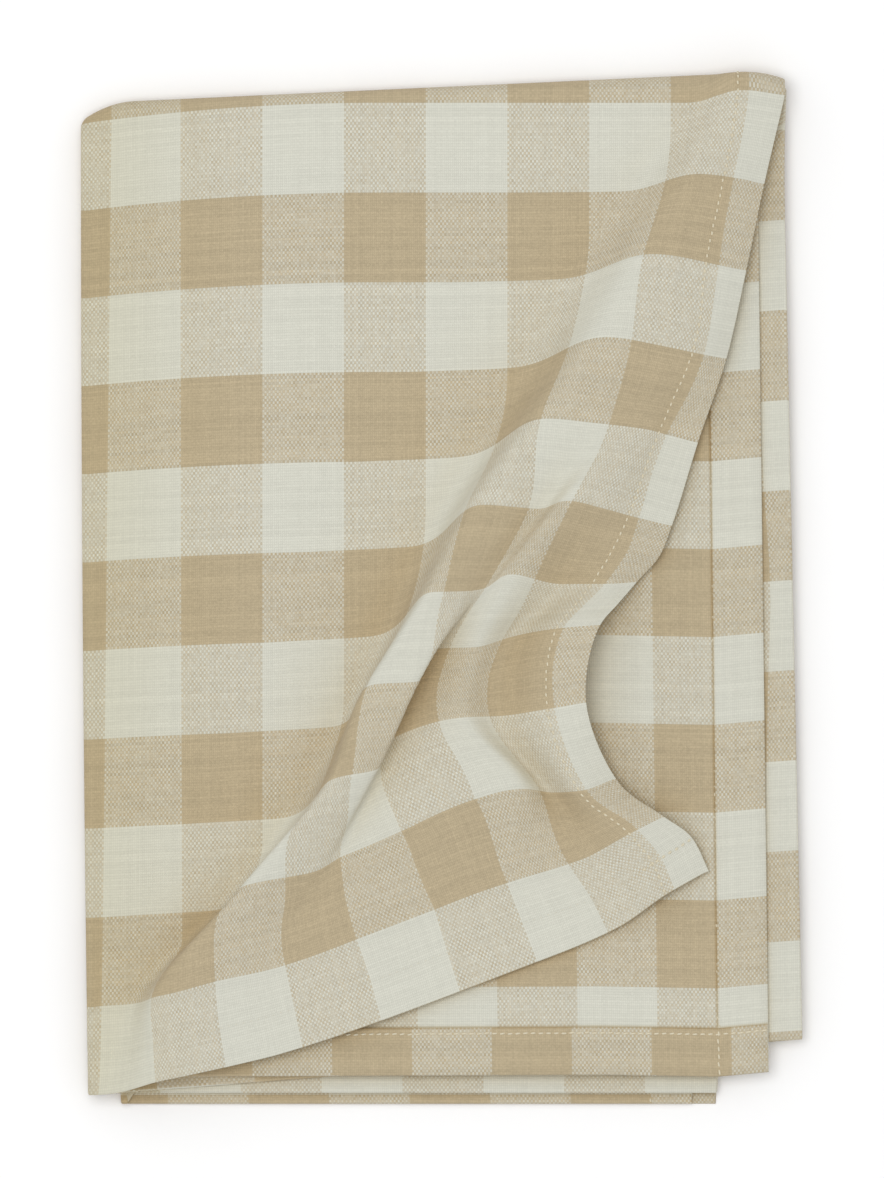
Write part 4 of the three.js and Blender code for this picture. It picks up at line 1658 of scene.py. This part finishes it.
@dataclass(frozen=True)
class GinghamFinish:
    """Matt plain-woven cotton in two colours, dyed before weaving, with painted shade in its colour."""

    surface: CottonSurface = CottonSurface(
        sockets=(
            ("Roughness", 0.92), ("Specular IOR Level", 0.25), ("Sheen Weight", 0.12),
            ("Sheen Roughness", 0.5),
        ),
        fineness=2600.0, bump=0.55, bump_height=0.16,
    )
    white: Dye = Dye((0.60, 0.597, 0.518, 1.0), threads=0.1, specks=0.1)
    beige: Dye = Dye((0.44, 0.363, 0.235, 1.0), threads=0.17, specks=0.34)
    warp_pitch: float = 1.02
    weft_pitch: float = 44.8 / 33.0
    warp_share: float = 0.37
    contrast: float = 0.47
    fibre_bump: float = 0.5  # of the fibres, where the threads' is 1
    mid_height: float = 0.6  # of the threads, where their painted shade is even
    painted_thread_shade: float = 0.14  # painted shade: how much darker the colour is made between them
    at_fold: Colour = (0.95, 0.93, 0.86, 1.0)  # painted shade: the tint that darkens and warms the colour along the left fold
    fold_reach: float = 70.0  # from the fold, over which that dies away
    painted_hollow_shade: Colour = (1.0, 0.78, 0.42, 1.0)  # painted shade: the tint that darkens and warms the colour where the cloth shades itself
    folds_reach: float = 0.06  # in metres, within which the cloth shades itself
    folds_share: float = 0.6  # how much of that painted shade counts
    folds_samples: int = 6
    painted_crease_shade: Colour = (0.78, 0.69, 0.55, 1.0)  # painted shade: the tint that darkens the colour beside the turned edge
    crease_reach: float = 1.1
    check: Check = Check()

    def build(self, groups: dict[str, bpy.types.NodeTree]) -> bpy.types.Material:
        """Makes the material.

        Args:
            groups: the shared node groups by name.

        Returns:
            The material.
        """
        material, wiring, shader = self.surface.start("gingham_cotton")
        warp, weft = wiring.attribute("warp"), wiring.attribute("weft")
        weave = wiring.placed_group(
            groups["plain_weave"], Warp=warp, Weft=weft, Warp_Pitch=self.warp_pitch,
            Weft_Pitch=self.weft_pitch, Warp_Share=self.warp_share, Contrast=self.contrast,
        )
        fibre = wiring.placed_group(groups["cotton_fibre"], Fineness=self.surface.fineness)
        warp_thread, weft_thread = (
            self.thread(wiring, place, stripe, weave.outputs[tone], fibre.outputs["Tone"])
            for place, stripe, tone in (
                (warp, self.check.stripe_wide, "Warp Tone"), (weft, self.check.stripe_long, "Weft Tone"),
            )
        )
        height = weave.outputs["Height"]
        woven = wiring.blend(weave.outputs["Warp Shows"], weft_thread, warp_thread)
        relief = wiring.math("SUBTRACT", height, self.mid_height)
        # painted shade: the colour is darkened where the threads lie low
        shaded = wiring.toned(woven, relief, self.painted_thread_shade)
        # The base colour carries painted shade between the threads, along the left fold, beside the turned
        # edges and in the folds.
        wiring.feed(shader.inputs["Base Color"], self.painted_shade(wiring, shaded, warp))
        rough = wiring.math("MULTIPLY_ADD", fibre.outputs["Height"], self.fibre_bump, height)
        self.surface.roughen(wiring, shader, rough)
        return material

    def thread(
        self, wiring: Wiring, place: object, stripe: float, tone: object, fibre: object
    ) -> bpy.types.NodeSocket:
        """The colour of one set of threads, which changes from stripe to stripe.

        Args:
            wiring: the material's wiring.
            place: where a point lies across the threads.
            stripe: how wide their stripes are.
            tone: each thread's own tone.
            fibre: the fibres' tone.

        Returns:
            The colour.
        """
        math = wiring.math
        dyed = math("FLOORED_MODULO", math("FLOOR", math("DIVIDE", place, stripe)), 2.0)
        white, beige = (
            wiring.toned(wiring.toned(dye.colour, tone, dye.threads), fibre, dye.specks)
            for dye in (self.white, self.beige)
        )
        return wiring.blend(dyed, white, beige)

    def painted_shade(self, wiring: Wiring, colour: object, warp: object) -> bpy.types.NodeSocket:
        """Painted shade: the colour darkened and warmed along the left fold, beside the turned edges and
        deep in the folds.

        Args:
            wiring: the material's wiring.
            colour: the cloth's colour.
            warp: where a point lies across the warp.

        Returns:
            The colour, warmed and darkened there by painted shade.
        """
        math = wiring.math
        # painted shade along the left fold, dying away from it
        from_end = math("DIVIDE", math("SUBTRACT", self.fold_reach, warp), self.fold_reach)
        on_top = math("GREATER_THAN", warp, -self.check.stripe_wide)
        colour = wiring.tinted(colour, math("MULTIPLY", from_end, on_top), self.at_fold)
        # painted shade in the groove beside the turned edges
        distance = math("DIVIDE", wiring.attribute("crease"), self.crease_reach)
        colour = wiring.tinted(colour, math("SUBTRACT", 1.0, distance), self.painted_crease_shade)
        # painted shade: an occlusion test darkens and warms the colour deep in the folds
        light = wiring.node("ShaderNodeAmbientOcclusion", samples=self.folds_samples)
        light.inputs["Distance"].default_value = self.folds_reach
        closed = math("SUBTRACT", 1.0, light.outputs["AO"])
        return wiring.tinted(colour, math("MULTIPLY", closed, self.folds_share), self.painted_hollow_shade)


@dataclass(frozen=True)
class StitchFinish:
    """Off-white sewing cotton."""

    surface: CottonSurface = CottonSurface(
        sockets=(("Roughness", 0.8),), fineness=4000.0, bump=0.5, bump_height=0.1,
    )
    colour: Colour = (0.66, 0.6, 0.45, 1.0)
    specks: float = 0.15  # how much the tone varies from fibre to fibre

    def build(self, groups: dict[str, bpy.types.NodeTree]) -> bpy.types.Material:
        """Makes the material.

        Args:
            groups: the shared node groups by name.

        Returns:
            The material.
        """
        material, wiring, shader = self.surface.start("sewing_cotton")
        fibre = wiring.placed_group(groups["cotton_fibre"], Fineness=self.surface.fineness)
        speckled = wiring.toned(self.colour, fibre.outputs["Tone"], self.specks)
        wiring.feed(shader.inputs["Base Color"], speckled)
        self.surface.roughen(wiring, shader, fibre.outputs["Height"])
        return material


@dataclass(frozen=True)
class Studio:
    """A pale floor, soft light from above, and the camera straight above the cloth."""

    view_height: float = 0.589
    camera_height: float = 12.0
    camera_place: tuple[float, float] = (-0.0004, -0.0007)
    sensor: float = 36.0
    clip_end: float = 100.0
    floor_size: float = 5.0
    floor_colour: Colour = (0.93, 0.93, 0.93, 1.0)
    floor_roughness: float = 0.9
    key_power: float = 24.0
    key_place: tuple[float, float, float] = (-0.35, 0.15, 2.4)
    key_size: float = 1.6
    sky_colour: Colour = (1.0, 1.0, 1.0, 1.0)
    sky: float = 0.755

    def build(self) -> None:
        """Adds the floor, the lights and the camera."""
        self.lay_floor()
        self.hang_lights()
        self.place_camera()

    def lay_floor(self) -> None:
        """Adds the floor."""
        half = self.floor_size / 2.0 / MM
        corners = np.array([(-half, -half, 0.0), (half, -half, 0.0), (half, half, 0.0), (-half, half, 0.0)])
        floor = loaded_mesh("floor", corners, [(0, 1, 2, 3)])
        paint = bpy.data.materials.new("floor_paint")
        paint.use_nodes = True
        shader = paint.node_tree.nodes["Principled BSDF"]
        shader.inputs["Base Color"].default_value = self.floor_colour
        shader.inputs["Roughness"].default_value = self.floor_roughness
        floor.data.materials.append(paint)

    def hang_lights(self) -> None:
        """Adds a large round lamp, and an even sky."""
        scene = bpy.context.scene
        lamp = bpy.data.lights.new("key", "AREA")
        lamp.shape = "DISK"
        lamp.size = self.key_size
        lamp.energy = self.key_power
        key = bpy.data.objects.new("key", lamp)
        key.location = self.key_place
        key.rotation_euler = (-Vector(self.key_place)).to_track_quat("-Z", "Y").to_euler()
        scene.collection.objects.link(key)
        world = bpy.data.worlds.new("studio")
        world.use_nodes = True
        background = world.node_tree.nodes["Background"]
        background.inputs["Color"].default_value = self.sky_colour
        background.inputs["Strength"].default_value = self.sky
        scene.world = world

    def place_camera(self) -> None:
        """Adds the camera, so far up that its view is nearly parallel."""
        scene = bpy.context.scene
        lens = bpy.data.cameras.new("camera")
        lens.sensor_width = self.sensor
        lens.lens = self.sensor * self.camera_height / self.view_height
        lens.clip_end = self.clip_end
        camera = bpy.data.objects.new("camera", lens)
        camera.location = (*self.camera_place, self.camera_height)
        scene.collection.objects.link(camera)
        scene.camera = camera
        scene.view_settings.view_transform = "Standard"


def main() -> None:
    """Builds the cloth and its stitches, dresses them, and sets the studio round them."""
    logging.basicConfig(level=logging.INFO, format="%(name)s: %(message)s")
    Studio().build()
    groups = {"cotton_fibre": CottonFibre().build(), "plain_weave": PlainWeave().build()}
    tablecloth = Tablecloth()
    cloth = tablecloth.build()
    cloth.data.materials.append(GinghamFinish().build(groups))
    stitches = HemStitches().build(tablecloth.middle_of_outline())
    stitches.data.materials.append(StitchFinish().build(groups))
    for piece in (cloth, stitches):
        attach(piece, "root")
    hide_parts("tablecloth")


if __name__ == "__main__":
    main()
